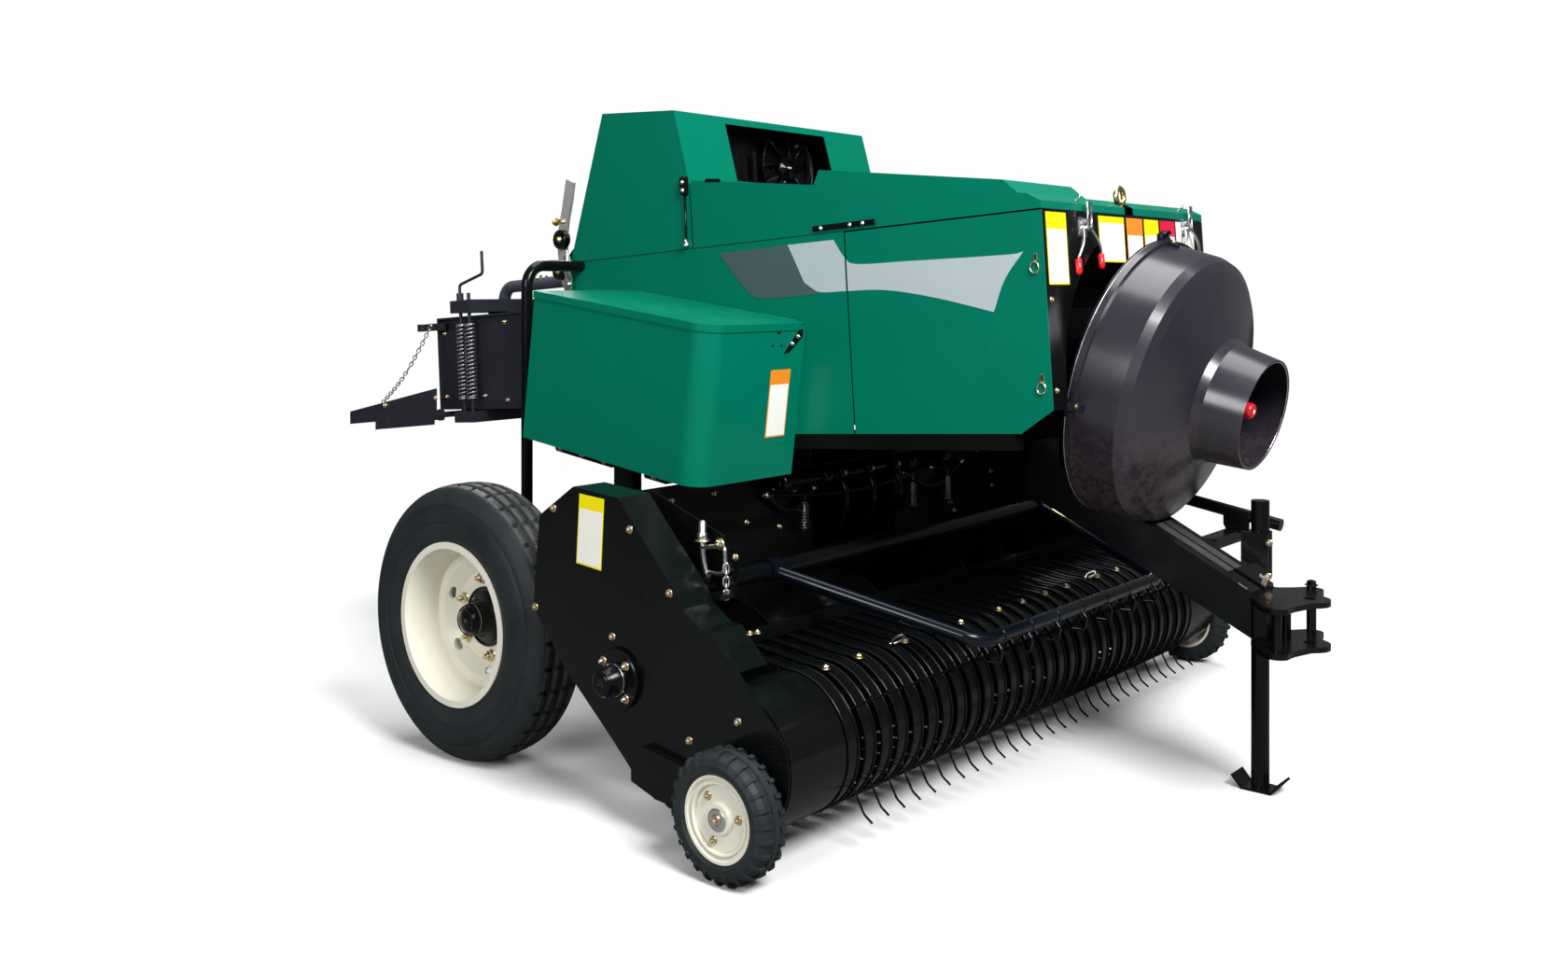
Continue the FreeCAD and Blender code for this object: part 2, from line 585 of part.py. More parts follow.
def chute_profile(lift):
    """Road x and z of a point this far back along the chute's floor."""
    c, s = math.cos(math.radians(CHUTE_SLOPE)), math.sin(math.radians(CHUTE_SLOPE))
    return CHUTE_HINGE[0] - lift * c, CHUTE_HINGE[1] - lift * s


def chute():
    """Folding bale chute: floor and two tapering sides, hinged under the chamber's rear end."""
    length = (CHUTE_HINGE[0] - CHUTE_TIP) / math.cos(math.radians(CHUTE_SLOPE))
    root, start, tip = chute_profile(24), chute_profile(CHUTE_FLOOR_START), chute_profile(length)
    floor = slab([start, tip, (tip[0], tip[1] - 6), (start[0], start[1] - 6)], -CHUTE_HALF, CHUTE_HALF)
    side = [(root[0], root[1] - 6), (root[0], CHUTE_ROOT_TOP), (tip[0], CHUTE_TIP_TOP), (tip[0], tip[1] - 6)]
    parts = [floor]
    for s in SIDES.values():
        parts.append(slab(side, s * CHUTE_HALF, s * (CHUTE_HALF - 6)))
        parts.append(slab([chute_profile(40), chute_profile(length * 0.7), (chute_profile(length * 0.7)[0], tip[1] - 18),
                           (chute_profile(40)[0], root[1] - 40)], s * (CHUTE_HALF + 1), s * (CHUTE_HALF - 7)))
        ear = slab([(CHUTE_HINGE[0] + 20, CHUTE_HINGE[1] + 20), (root[0] - 30, root[1] + 20), (root[0] - 30, root[1] - 22),
                    (CHUTE_HINGE[0] + 20, CHUTE_HINGE[1] - 20)], s * (CHUTE_HALF - 1), s * (CHUTE_HALF - 12))
        parts.append(ear)
        parts.append(rod(CHUTE_HINGE[0], s * (CHUTE_HALF - 1), s * (CHUTE_HALF - 12), CHUTE_HINGE[1], 24))
    bore = rod(CHUTE_HINGE[0], -2 * CHUTE_HALF, 2 * CHUTE_HALF, CHUTE_HINGE[1], 12 + RUN)
    return road(join(parts).cut(bore))


def chute_hanger():
    """The chute's hinge pin in brackets under the chamber, and the chain brackets above."""
    x, z = CHUTE_HINGE
    u, w = body_point(x, z)
    low = CHAMBER_FLOOR - CHAMBER_WALL - SEAT
    parts = []
    pin = rod(u, -CHUTE_HALF - 8, CHUTE_HALF + 8, w, 12)
    parts.append(pin)
    for s in SIDES.values():
        parts.append(box(u - 14, u + 60, s * 150, s * 165, w - 14, low))
        y, end = s * (WALL_HALF + 22 + SEAT), s * (CHUTE_HALF - 6 - CLEAR)
        parts.append(box(CHAMBER_REAR - 95, CHAMBER_REAR + 60, y, y + s * 8, CHAMBER_TOP - 42, CHAMBER_TOP - 12))
        parts.append(box(CHAMBER_REAR - 95, CHAMBER_REAR - 75, y, end, CHAMBER_TOP - 42, CHAMBER_TOP - 12))
    return body(group([join(parts[:1] + [p for p in parts[1:] if p.BoundBox.ZMax < CHAMBER_TOP - 60])]
                      + [join(parts[k:k + 2]) for k in (2, 5)]))


# ---- drive -----------------------------------------------------------------------------------------
def drive_spun(profile):
    x, z = on_drive(0)
    return spun(profile, (x, 0, z), DRIVE_AXIS)


def drive_shield():
    """A shallow bowl on the front of the machine, drawn in to a round mouth for the drive shaft."""
    t, shoulder, neck = SHIELD_WALL, SHIELD_SHOULDER, SHIELD_LENGTH - 130
    flange, band = SHIELD_FLANGE_R, SHIELD_BAND_R
    outer = [(0, flange), (20, flange), (20, band + 6), (shoulder - 35, band), (shoulder - 8, band - 10), (shoulder + 8, band - 35),
             (neck, SHIELD_NECK_R + 12), (neck + 22, SHIELD_NECK_R), (SHIELD_LENGTH, SHIELD_MOUTH_R + t)]
    inner = [(SHIELD_LENGTH, SHIELD_MOUTH_R), (neck + 20, SHIELD_NECK_R - t), (neck - 4, SHIELD_NECK_R + 8), (shoulder + 3, band - 39),
             (shoulder - 11, band - 15), (shoulder - 37, band - t), (20, band + 6 - t), (0, band + 6 - t)]
    bowl = drive_spun(outer + inner)
    return road(bowl.cut(tongue_clearance(12)))


def tongue_clearance(margin):
    """The space that the tongue's beam takes, with room all round, in road places."""
    slope = math.tan(math.radians(TONGUE_SLOPE))
    x0, x1 = TONGUE_ROOT - 300, TONGUE_END + 300
    line = lambda x: TONGUE_TOP[1] - (x - TONGUE_TOP[0]) * slope
    half = TONGUE_HALF + margin
    return slab([(x0, line(x0) + margin), (x1, line(x1) + margin), (x1, line(x1) - 600), (x0, line(x0) - 600)], -half, half)


def bulkhead():
    """Sloping plate that carries the shield, with a neck back to the gearbox."""
    plate = drive_spun([(-8 - SEAT, 70), (-8 - SEAT, SHIELD_FLANGE_R), (-SEAT, SHIELD_FLANGE_R), (-SEAT, 70)])
    legs = []
    for s in SIDES.values():
        near, far = on_drive(-6), body_point(*on_drive(0))
        leg = box(far[0] - 190, far[0] - 20, s * (WALL_HALF + SEAT), s * (WALL_HALF + 60), far[1] - 120, far[1] + 120)
        leg.rotate(V(0, 0, 0), Y_AXIS, -PITCH)
        leg.translate(V(0, 0, TYRE_R))
        legs.append(leg)
    front = drive_spun([(-2 * SEAT - 4, 0), (-2 * SEAT - 4, 900), (600, 900), (600, 0)])
    legs = [leg.cut(front) for leg in legs]
    return road(join([plate] + legs).cut(tongue_clearance(12)))


def gearbox():
    """Gear housing between the chamber's walls, bored for the sloping input shaft."""
    u, w = body_point(*on_drive(-290))
    case = box(u - 130, u + 130, -110, 110, w - 120, w + 120)
    ends = [box(u - 100, u + 60, s * 105, s * (CHAMBER_WIDTH / 2 - SEAT), w - 70, w + 70) for s in SIDES.values()]
    bore = drive_spun([(SHAFT_REAR - SEAT, 0), (SHAFT_REAR - SEAT, SHAFT_R + RUN), (0, SHAFT_R + RUN), (0, 0)])
    return body(join([case] + ends)).cut(road(bore))


def input_rotor():
    """Flywheel on the sloping input shaft, ending in the splined stub for the drive shaft."""
    wheel = [(18, 0), (18, 60), (30, 60), (30, FLYWHEEL_R - 60), (18, FLYWHEEL_R - 50), (18, FLYWHEEL_R), (18 + FLYWHEEL_WIDTH, FLYWHEEL_R),
             (18 + FLYWHEEL_WIDTH, FLYWHEEL_R - 50), (55, FLYWHEEL_R - 60), (55, 75), (150, 75), (150, 55), (190, 55), (190, 30),
             (270, 30), (270, INPUT_SHAFT_R), (SHIELD_LENGTH - 30, INPUT_SHAFT_R), (SHIELD_LENGTH - 30, 0)]
    shaft = [(SHAFT_REAR, 0), (SHAFT_REAR, SHAFT_R), (20, SHAFT_R), (20, 0)]
    return road(join([drive_spun(wheel), drive_spun(shaft)]))


# ---- twine boxes --------------------------------------------------------------------------------------
def twine_place(shape):
    """From the box's own frame (origin at the rear top edge) to road places."""
    shape.rotate(V(0, 0, 0), Y_AXIS, TWINE_TILT)
    shape.translate(V(TWINE_TOP_REAR[0], 0, TWINE_TOP_REAR[1]))
    return shape


def twine_outline(grow, top, bottom):
    """Right-hand box in plan with its rounded outer front corner, as a solid."""
    inner, outer = -BODY_HALF - SEAT + grow, -TWINE_OUTER - grow
    whole = box(-grow, TWINE_LENGTH + grow, inner, outer, bottom, top)
    edge = [e for e in whole.Edges if abs(e.Vertexes[0].X - e.Vertexes[1].X) < 1 and abs(e.Vertexes[0].Y - e.Vertexes[1].Y) < 1
            and e.Vertexes[0].X > TWINE_LENGTH / 2 and e.Vertexes[0].Y < (inner + outer) / 2]
    return whole.makeFillet(TWINE_CORNER + grow, edge)


def twine_box(sign):
    shell = twine_outline(0, -SHEET - SEAT, -TWINE_HEIGHT)
    void = twine_outline(-SHEET, 1, -TWINE_HEIGHT + SHEET)
    whole = shell.cut(void)
    lip = box(0, TWINE_LENGTH, -BODY_HALF - SEAT, -BODY_HALF - 18, -30, -SHEET - SEAT)
    return road(for_side(twine_place(join([whole, lip])), sign))


def twine_lid(sign):
    grow = SHEET + SEAT
    top = twine_outline(grow, 0, -LID_LIP)
    under = twine_outline(SEAT, -SHEET, -LID_LIP - 1)
    trim = box(-100, TWINE_LENGTH + 100, -BODY_HALF - 22, 0, -LID_LIP - 5, -SHEET)
    over = box(-100, TWINE_LENGTH + 100, -BODY_HALF - LID_EDGE, 0, -LID_LIP - 5, 9)
    barrel = Part.makeCylinder(SHEET, TWINE_LENGTH - 60, V(30, -BODY_HALF - LID_EDGE, 0), X_AXIS)
    return road(for_side(twine_place(join([top.cut(under).cut(trim).cut(over), barrel])), sign))


# ---- tongue, hitch and jack ------------------------------------------------------------------------------
def tongue_line(x):
    return TONGUE_TOP[1] - (x - TONGUE_TOP[0]) * math.tan(math.radians(TONGUE_SLOPE))


def tongue():
    drop = TONGUE_DEPTH / math.cos(math.radians(TONGUE_SLOPE))
    x0, x1 = TONGUE_ROOT, TONGUE_END
    beam = slab([(x0, tongue_line(x0)), (x1, tongue_line(x1)), (x1, tongue_line(x1) - drop + 18), (x0, tongue_line(x0) - drop)],
                -TONGUE_HALF, TONGUE_HALF)
    groove = slab([(x0 + 200, tongue_line(x0 + 200) + 9), (x1 + 9, tongue_line(x1 + 9) + 9), (x1 + 9, tongue_line(x1 + 9) - 12),
                   (x0 + 200, tongue_line(x0 + 200) - 12)], -14, 14)
    end = BODY_FRONT - DOOR_CHAMFER[0] - RAIL / 2
    u = end - 4 * RAIL
    x, z = road_point(u, RAIL_SILL - RAIL)
    root = box(x - 30, x + 60, -TONGUE_HALF, TONGUE_HALF, tongue_line(x) - 60, z + 60)
    ceiling = box(u - 500, u + 500, -BODY_HALF, BODY_HALF, RAIL_SILL - RAIL - SEAT, 2 * SEAM)
    ceiling.rotate(V(0, 0, 0), Y_AXIS, -PITCH)
    ceiling.translate(V(0, 0, TYRE_R))
    return road(join([beam.cut(groove), root]).cut(ceiling))


def hitch_clevis():
    """Two plates, turned a little to the left: the near lobe takes the drawbar's pin, the far one a
    spacer bolt, and round bars hold the plates apart behind them."""
    rear = TONGUE_END + SEAT
    right = [(rear, -84), (2030, -150), (2058, -184), *arc((2085, -160), 32, -140, 10), (2119, -128), (2138, -64)]
    outline = right + arc(HITCH_PIN_AT, HITCH_LOBE_R, -50, 62) + [(2112, 66)] + arc(HITCH_BOLT_AT, HITCH_BOLT_LOBE_R, -5, 135)
    outline += [(2030, 104), (rear + 14, 78), (rear, 78)]
    plates = []
    for top in (HITCH_TOP, HITCH_TOP - HITCH_GAP - HITCH_PLATE):
        plate = slab(outline, 0, HITCH_PLATE)
        plate.rotate(V(0, 0, 0), X_AXIS, -90)
        plate.translate(V(0, 0, top))
        plates.append(plate)
    low, high = HITCH_TOP - HITCH_GAP - HITCH_PLATE - 2, HITCH_TOP - HITCH_PLATE + 2
    block = box(rear, rear + 38, -70, 70, low, high)
    bars = [post(x, y, low, high, 12) for x, y in HITCH_BARS]
    spacer = post(*HITCH_BOLT_AT, low - HITCH_PLATE - 9, high + HITCH_PLATE + 9, 13)
    hole = post(*HITCH_PIN_AT, low - 60, high + 60, HITCH_PIN_R)
    return road(join(plates + [block, spacer] + bars).cut(hole))


def jack_sleeve():
    z0, z1 = tongue_line(JACK_X) - 20, tongue_line(JACK_X) + 105
    tube = post(JACK_X, JACK_Y, z0, z1, JACK_R + 7).cut(post(JACK_X, JACK_Y, z0 - 1, z1 + 1, JACK_R + SEAT))
    plate = box(JACK_X - 38, JACK_X + 38, TONGUE_HALF + SEAT, TONGUE_HALF + SEAT + 10, tongue_line(JACK_X) - 120, z1)
    web = box(JACK_X - 12, JACK_X + 12, TONGUE_HALF + SEAT, JACK_Y - JACK_R - 3, z0, z1)
    hole = post(JACK_X, JACK_Y, z0 - 400, z1 + 400, JACK_R + SEAT)
    return road(join([tube, plate, web]).cut(hole))


def jack_leg():
    leg = post(JACK_X, JACK_Y, 4, JACK_TOP, JACK_R)
    sole = [(JACK_X - 42, 0), (JACK_X + 42, 0), (JACK_X + 72, 34), (JACK_X + 66, 38), (JACK_X + 40, 7), (JACK_X - 40, 7),
            (JACK_X - 66, 38), (JACK_X - 72, 34)]
    foot = slab(sole, JACK_Y - 38, JACK_Y + 38)
    return road(join([leg, foot]))


# ---- feeder housing, under the body ------------------------------------------------------------------------
def under_body(shape, w, half):
    """Cuts a shape off just under a level of the body, within half its width."""
    above = box(-500, 2500, -half, half, w - SEAT, 3 * SEAM)
    above.rotate(V(0, 0, 0), Y_AXIS, -PITCH)
    above.translate(V(0, 0, TYRE_R))
    return shape.cut(above)


def feeder_housing():
    """Auger trough with side walls and a back, hung from the body frame, and a duct to the chamber."""
    wall = HOUSING_WALL
    inner = HOUSING_Y - wall
    rear = AUGER_AT[0] - TROUGH_R
    trough = slab(arc(AUGER_AT, TROUGH_R, -45, -180) + [(rear, HOUSING_TOP), (rear - wall, HOUSING_TOP)]
                  + arc(AUGER_AT, TROUGH_R + wall, -180, -45), -HOUSING_Y, HOUSING_Y)
    clear = AUGER_R - 2
    cheek = [(600, HOUSING_TOP + 7), (676, HOUSING_TOP + 7), (938, 757), (952, 706), (918, 582)]
    cheek += arc(AUGER_AT, clear, 60, -40) + arc(AUGER_AT, TROUGH_R + 16, -45, -180)
    bar_r = math.hypot(CROSSBAR_AT[0] - AUGER_AT[0], CROSSBAR_AT[1] - AUGER_AT[1])
    room = CROSSBAR_R + 7
    at = math.degrees(math.atan2(CROSSBAR_AT[1] - AUGER_AT[1], CROSSBAR_AT[0] - AUGER_AT[0]))
    first, last = at - 16, at + PICKUP_LIFT + 11
    slot = slab(arc(AUGER_AT, bar_r - room, first, last) + arc(AUGER_AT, bar_r + room, last, first), -2 * HOUSING_Y, 2 * HOUSING_Y)
    parts = [trough]
    for s in SIDES.values():
        parts.append(slab(cheek, s * inner, s * HOUSING_Y).cut(slot))
        parts.append(rod(AUGER_AT[0], s * (HOUSING_Y - 2), s * (HOUSING_Y + PIVOT_REACH), AUGER_AT[1], PIVOT_R))
        parts.append(box(rear - 60, rear - 1, s * (RAIL_Y - RAIL), s * RAIL_Y, HOUSING_TOP - 140, 1200))
    duct_half = CHAMBER_WIDTH / 2 + 6
    front, back = rear - wall + 1, road_point(FEED_OPENING[0], CHAMBER_FLOOR)[0] - 6
    duct = box(back, front, -duct_half, duct_half, 560, 1250)
    parts.append(duct.cut(box(back + 5, front + 5, -duct_half + 6, duct_half - 6, 566, 1300)))
    whole = join(parts)
    for s in SIDES.values():
        whole = whole.cut(rod(AUGER_AT[0], s * (HOUSING_Y - 20), s * (HOUSING_Y + 200), AUGER_AT[1], PIVOT_R - 10))
    mouth = box(front - 20, rear + 20, -duct_half + 6, duct_half - 6, 570, 820)
    whole = under_body(whole.cut(mouth), CHAMBER_FLOOR - CHAMBER_WALL, WALL_HALF + 20)
    rails = box(-500, 2500, WALL_HALF - RAIL - 2, BODY_HALF, RAIL_SILL - RAIL - SEAT, 3 * SEAM)
    rails = rails.fuse(mirrored(rails))
    rails.rotate(V(0, 0, 0), Y_AXIS, -PITCH)
    rails.translate(V(0, 0, TYRE_R))
    return road(whole.cut(rails))


# ---- pickup ---------------------------------------------------------------------------------------------------
def end_plate(sign):
    """Pickup end plate with its boxed front edge, end drum, auger bearing and pivot collar."""
    outer, inner = -END_PLATE_Y, -END_PLATE_Y + END_PLATE
    lobe = arc(BAND_AT, BAND_R - 3, 35, -75)
    edge = [(573, 877), (748, 863), (958, 645), (984, 606), (1044, 565), (1082, 562), (1168, 478)]
    tail = [(890, 106), (798, 133), (798, 164), (727, 227), (543, 379), (409, 527), (434, 785)]
    plate = slab(edge + lobe + tail, outer, inner)
    flange = slab(strip(edge, END_FLANGE_SHEET), outer, outer + END_FLANGE)
    drum_end = -(band_positions()[-1] + BAND_WIDTH / 2 + 6)
    drum = ring(BAND_AT[0], inner - 1, drum_end, BAND_AT[1], BAND_R, BAND_R - 4)
    cap = ring(BAND_AT[0], drum_end, drum_end - 4, BAND_AT[1], BAND_R - 2, 95)
    collar = ring(AUGER_AT[0], inner - 1, -HOUSING_Y - PIVOT_REACH + 30, AUGER_AT[1], PIVOT_R + 14, PIVOT_R + SEAT)
    hub = spun([(0, 0), (0, 79), (15, 79), (15, 41), (19, 39), (48, 30), (51, 26), (51, 0)], (AUGER_AT[0], outer, AUGER_AT[1]), -Y_AXIS)
    reel_boss = spun([(-20, 0), (-20, 42), (2, 42), (2, 0)], (REEL_AT[0], inner, REEL_AT[1]), -Y_AXIS)
    whole = join([plate, flange, drum, cap, collar, hub, reel_boss])
    whole = whole.cut(rod(AUGER_AT[0], outer - AUGER_SHAFT_OUT - SEAT, -HOUSING_Y, AUGER_AT[1], AUGER_SHAFT_R + RUN))
    whole = whole.cut(rod(REEL_AT[0], outer + 3, -HOUSING_Y, REEL_AT[1], 25 + RUN))
    for x, z in (CROSSBAR_AT, LOWER_TUBE_AT):
        whole = whole.cut(rod(x, outer - 9, -HOUSING_Y, z, CROSSBAR_R + SEAT))
    return road(for_side(whole, sign))


def pickup_frame():
    """Tubes across the pickup that join the end plates and carry the bands."""
    upper = rod(CROSSBAR_AT[0], -END_PLATE_Y + 1, END_PLATE_Y - 1, CROSSBAR_AT[1], CROSSBAR_R)
    lower = rod(LOWER_TUBE_AT[0], -END_PLATE_Y + 1, END_PLATE_Y - 1, LOWER_TUBE_AT[1], CROSSBAR_R)
    return road(group([upper, lower]))


def band_positions():
    pitch = TINE_SPAN / (TINES - 1)
    return [-TINE_SPAN / 2 + pitch * (k - 0.5) for k in range(TINES + 1)]


def pickup_bands():
    """Stripper bands round the front of the reel, joined by a bar along their upper rear ends."""
    t = BAND_SHEET
    top = (CARRIER_AT[0] - 5, CARRIER_AT[1] - 15)
    low = (LOWER_TUBE_AT[0] + 4, LOWER_TUBE_AT[1] - CROSSBAR_R - SEAT - t)
    outline = [low] + arc(BAND_AT, BAND_R, -95, 95) + [top, (top[0], top[1] - t)]
    outline += arc(BAND_AT, BAND_R - t, 95, -95) + [(low[0], low[1] + t)]
    parts = [slab(outline, y - BAND_WIDTH / 2, y + BAND_WIDTH / 2) for y in band_positions()]
    end = END_PLATE_Y - END_PLATE - SEAT
    parts.append(box(top[0], top[0] + 30, -end, end, top[1] - 1, top[1] + 29))
    strap = band_positions()[-1] + BAND_WIDTH / 2
    parts.append(box(low[0], low[0] + 25, -strap, strap, low[1] - 1, low[1] + t))
    return road(join(parts))


def pickup_reel():
    """Reel shaft with spider discs, tine bars and spring tines out to the tip circle."""
    x, z = REEL_AT
    end = END_PLATE_Y - END_PLATE - SEAT
    parts = [rod(x, -end, end, z, 25)]
    for y in (-TINE_SPAN / 2 - 20, -TINE_SPAN / 6, TINE_SPAN / 6, TINE_SPAN / 2 + 20):
        parts.append(rod(x, y - 4, y + 4, z, TINE_BAR_AT + TINE_BAR_R + 2))
    pitch = TINE_SPAN / (TINES - 1)
    half = TINE_SPAN / 2 + 24
    for b in range(TINE_BARS):
        a = 2 * math.pi * b / TINE_BARS + math.radians(-36)
        bx, bz = x + TINE_BAR_AT * math.cos(a), z + TINE_BAR_AT * math.sin(a)
        parts.append(rod(bx, -half, half, bz, TINE_BAR_R))
        (kx, kz), (tx, tz) = [(x + r * math.cos(a - math.radians(lag)), z + r * math.sin(a - math.radians(lag)))
                              for r, lag in (TINE_KNEE, TINE_TIP)]
        for k in range(TINES):
            y = -TINE_SPAN / 2 + pitch * k
            parts.append(bent_tube([(bx, y, bz), (kx, y, kz), (tx, y, tz)], TINE_WIRE_R, 30))
    return road(join(parts))


def flight(y0, y1):
    """One helical flight of the auger between two stations along Y."""
    root = AUGER_SHAFT_R + SEAT
    strip = [V(root, 0, 0), V(AUGER_R, 0, 0), V(AUGER_R, 0, FLIGHT_SHEET), V(root, 0, FLIGHT_SHEET), V(root, 0, 0)]
    curve = Part.makeHelix(AUGER_PITCH, y1 - y0 - FLIGHT_SHEET, root)
    blade = Part.Wire(curve.Edges).makePipeShell([Part.makePolygon(strip)], True, True)
    blade.rotate(V(), V(1, 0, 0), -90)
    return blade.translate(V(AUGER_AT[0], y0, AUGER_AT[1]))


def auger():
    """Cross auger: one shaft and two flights that bring the crop to the middle."""
    shaft_end = END_PLATE_Y + AUGER_SHAFT_OUT
    shaft = rod(AUGER_AT[0], -shaft_end, shaft_end, AUGER_AT[1], AUGER_SHAFT_R)
    right = flight(25 - HOUSING_Y, -CHAMBER_WIDTH / 2)
    return road(group([shaft, right, mirrored(right)]))


def windguard():
    """Bent tube over the pickup, turning on two barrels round the pickup's upper tube."""
    (x0, z0), (x1, z1) = CROSSBAR_AT, GUARD_BAR
    start = V(x0, 0, z0)
    path = [(x0, -GUARD_PIVOT_Y, z0), (x1, -GUARD_BAR_HALF, z1), (x1, GUARD_BAR_HALF, z1), (x0, GUARD_PIVOT_Y, z0)]
    parts = [bent_tube(path, GUARD_R, 70)]
    parts += [rod(x0, s * (GUARD_PIVOT_Y - 22), s * (GUARD_PIVOT_Y + 22), z0, CROSSBAR_R + 10) for s in SIDES.values()]
    for k in range(GUARD_WIRES):
        y = GUARD_BAR_HALF * 0.88 * (2 * k / (GUARD_WIRES - 1) - 1)
        hook = [(x1, y, z1), (x1 + 26, y, z1 - 32), (x1 + 18, y, z1 - 68), (x1 - 24, y, z1 - 70)]
        parts.append(bent_tube(hook, GUARD_WIRE_R, 14))
    bore = rod(x0, -END_PLATE_Y, END_PLATE_Y, z0, CROSSBAR_R + SEAT)
    return road(join(parts).cut(bore))


def gauge_arm(sign):
    """Arm on the outside of an end plate, with a stiffening lip and the gauge wheel's stub axle."""
    y0, y1 = -END_PLATE_Y - SEAT, -END_PLATE_Y - GAUGE_ARM
    x, z = GAUGE_AT
    outline = [(807, 142), (865, 133), (891, 110), (x - 20, 100), *arc(GAUGE_AT, 40, -90, 80), (1002, 222), (860, 242), (807, 200)]
    arm = slab(outline, y0, y1)
    lip = slab([(860, 242), (1002, 222), (1002, 215), (860, 235)], y0, y1 - 14)
    stub = rod(x, y0, -GAUGE_Y - 20, z, 15)
    return road(for_side(join([arm, lip, stub]), sign))


def gauge_rim(sign):
    """Small pressed wheel with a rolled edge, a dished face and its hub."""
    half, edge = GAUGE_WIDTH / 2 - 10, GAUGE_RIM_R
    dish = [(-half, edge - 6), (-half, edge), (half, edge), (half, edge - 7), (half - 9, edge - 12),
            (half - 13, edge - 24), (half - 13, 42), (half - 4, 36), (half - 4, 0), (24, 0), (24, 15 + RUN), (-half, 15 + RUN), (-half, 26), (half - 19, 26),
            (half - 19, edge - 16), (-half + 4, edge - 10)]
    wheel = spun(dish, (GAUGE_AT[0], -GAUGE_Y, GAUGE_AT[1]), -Y_AXIS)
    return road(for_side(wheel, sign))


def gauge_tyre(sign):
    """Tyre with a middle rib and square lugs round both shoulders."""
    half = GAUGE_WIDTH / 2
    bead = GAUGE_RIM_R + SEAT
    outline = [(-half + 13, bead), (-half + 3, 113), (-half + 2, 128), (-half + 9, 143), (-half + 22, GAUGE_R - 7), (-9, GAUGE_R - 7), (-7, GAUGE_R - 1)]
    outline += [(-a, r) for a, r in reversed(outline)]
    tyre = spun(outline, (0, 0, 0), -Y_AXIS)
    lug = [(-half, 129), (-half + 6, 146), (-half + 18, GAUGE_R), (-half + 34, GAUGE_R), (-half + 34, GAUGE_R - 12), (-half + 24, GAUGE_R - 14),
           (-half + 12, 138), (-half + 6, 126)]
    block = Part.Face(Part.makePolygon([V(0, a, r) for a, r in lug + lug[:1]])).extrude(V(10, 0, 0))
    block.translate(V(-5, 0, 0))
    lugs = []
    for k in range(GAUGE_LUGS):
        for mirror, phase in ((False, 0), (True, 0.5)):
            one = mirrored(block) if mirror else block.copy()
            one.rotate(V(0, 0, 0), Y_AXIS, 360 / GAUGE_LUGS * (k + phase))
            lugs.append(one)
    tyre = join([tyre] + lugs)
    tyre.translate(V(GAUGE_AT[0], -GAUGE_Y, GAUGE_AT[1]))
    return road(for_side(tyre, sign))


def guard_hoops():
    """Round-tube hoops behind the twine boxes, from the axle up and in to the body."""
    x, y, top = -205.0, 750.0, 1487.0
    hoops = []
    for s in SIDES.values():
        path = [(x, s * y, TYRE_R), (x, s * y, top), (x, s * (BODY_HALF + SEAT), top)]
        foot = box(x - 30, -AXLE_BEAM / 2 - SEAT, s * (y - 30), s * (y + 30), TYRE_R - 6, TYRE_R + 6)
        hoops.append(join([bent_tube(path, 19, 70), foot]))
    return road(group(hoops))


def needle_arm():
    """Curved plate and pulley at the tower's rear, on the knotter shaft."""
    u = BODY_REAR - 40
    seat = BODY_REAR - SEAT
    plate = slab([(u - 14, 1010), (seat, 1010), (seat, SEAM), (u + 46, 1180), (u + 70, 1300), (u + 46, 1310),
                  (u + 10, 1180)], -420, -410)
    wheel = rod(u + 10, -432, -400, 1130, 34)
    shaft = rod(u + 10, -440, -300, 1130, 12)
    return body(join([plate, wheel, shaft]))


def tongue_brace():
    """Tube along the tongue's left, from a hanger under the body to a cross beam on the tongue."""
    y, (x0, z0), (x1, z1) = BRACE_Y, BRACE_REAR, BRACE_FRONT
    tube = Part.makeCylinder(BRACE_R, math.hypot(x1 - x0, z1 - z0), V(x0, y, z0), V(x1 - x0, 0, z1 - z0))
    top = road_point(body_point(x0, z0)[0], RAIL_SILL - RAIL - SEAT)[1]
    hanger = box(x0, x0 + 40, y - 8, y + 8, z0 - 18, top + 30)
    hanger = under_body(hanger, RAIL_SILL - RAIL, BODY_HALF)
    back = lambda x: z0 + (z1 - z0) * (x - x0) / (x1 - x0)
    x = BRACE_PLATE_X
    plate = slab([(x, back(x) + 6), (x + 78, back(x + 78) + 6), (x + 78, back(x) - 62), (x + 12, back(x) - 62), (x, back(x) - 40)], y - 18, y - 12)
    beam = box(x + 10, x + 58, TONGUE_HALF + SEAT, y - 11, back(x) - 84, back(x) - 52)
    foot = box(x + 4, x + 64, TONGUE_HALF + SEAT, TONGUE_HALF + 8, tongue_line(x + 64) - 90, back(x) - 52)
    tail = box(x + 30, x + 50, y - 20, y, back(x) - 30, back(x))
    return road(join([tube, hanger, plate, beam, foot, tail]))


def hood_latches():
    parts = []
    for y in (-350, 350):
        parts.append(box(BODY_FRONT + SEAT, BODY_FRONT + 8, y - 14, y + 14, SEAM - 75, SEAM - 8))
    return body(group(parts))


def export(name, shape):
    shape.exportStep("parts/%s.step" % name)


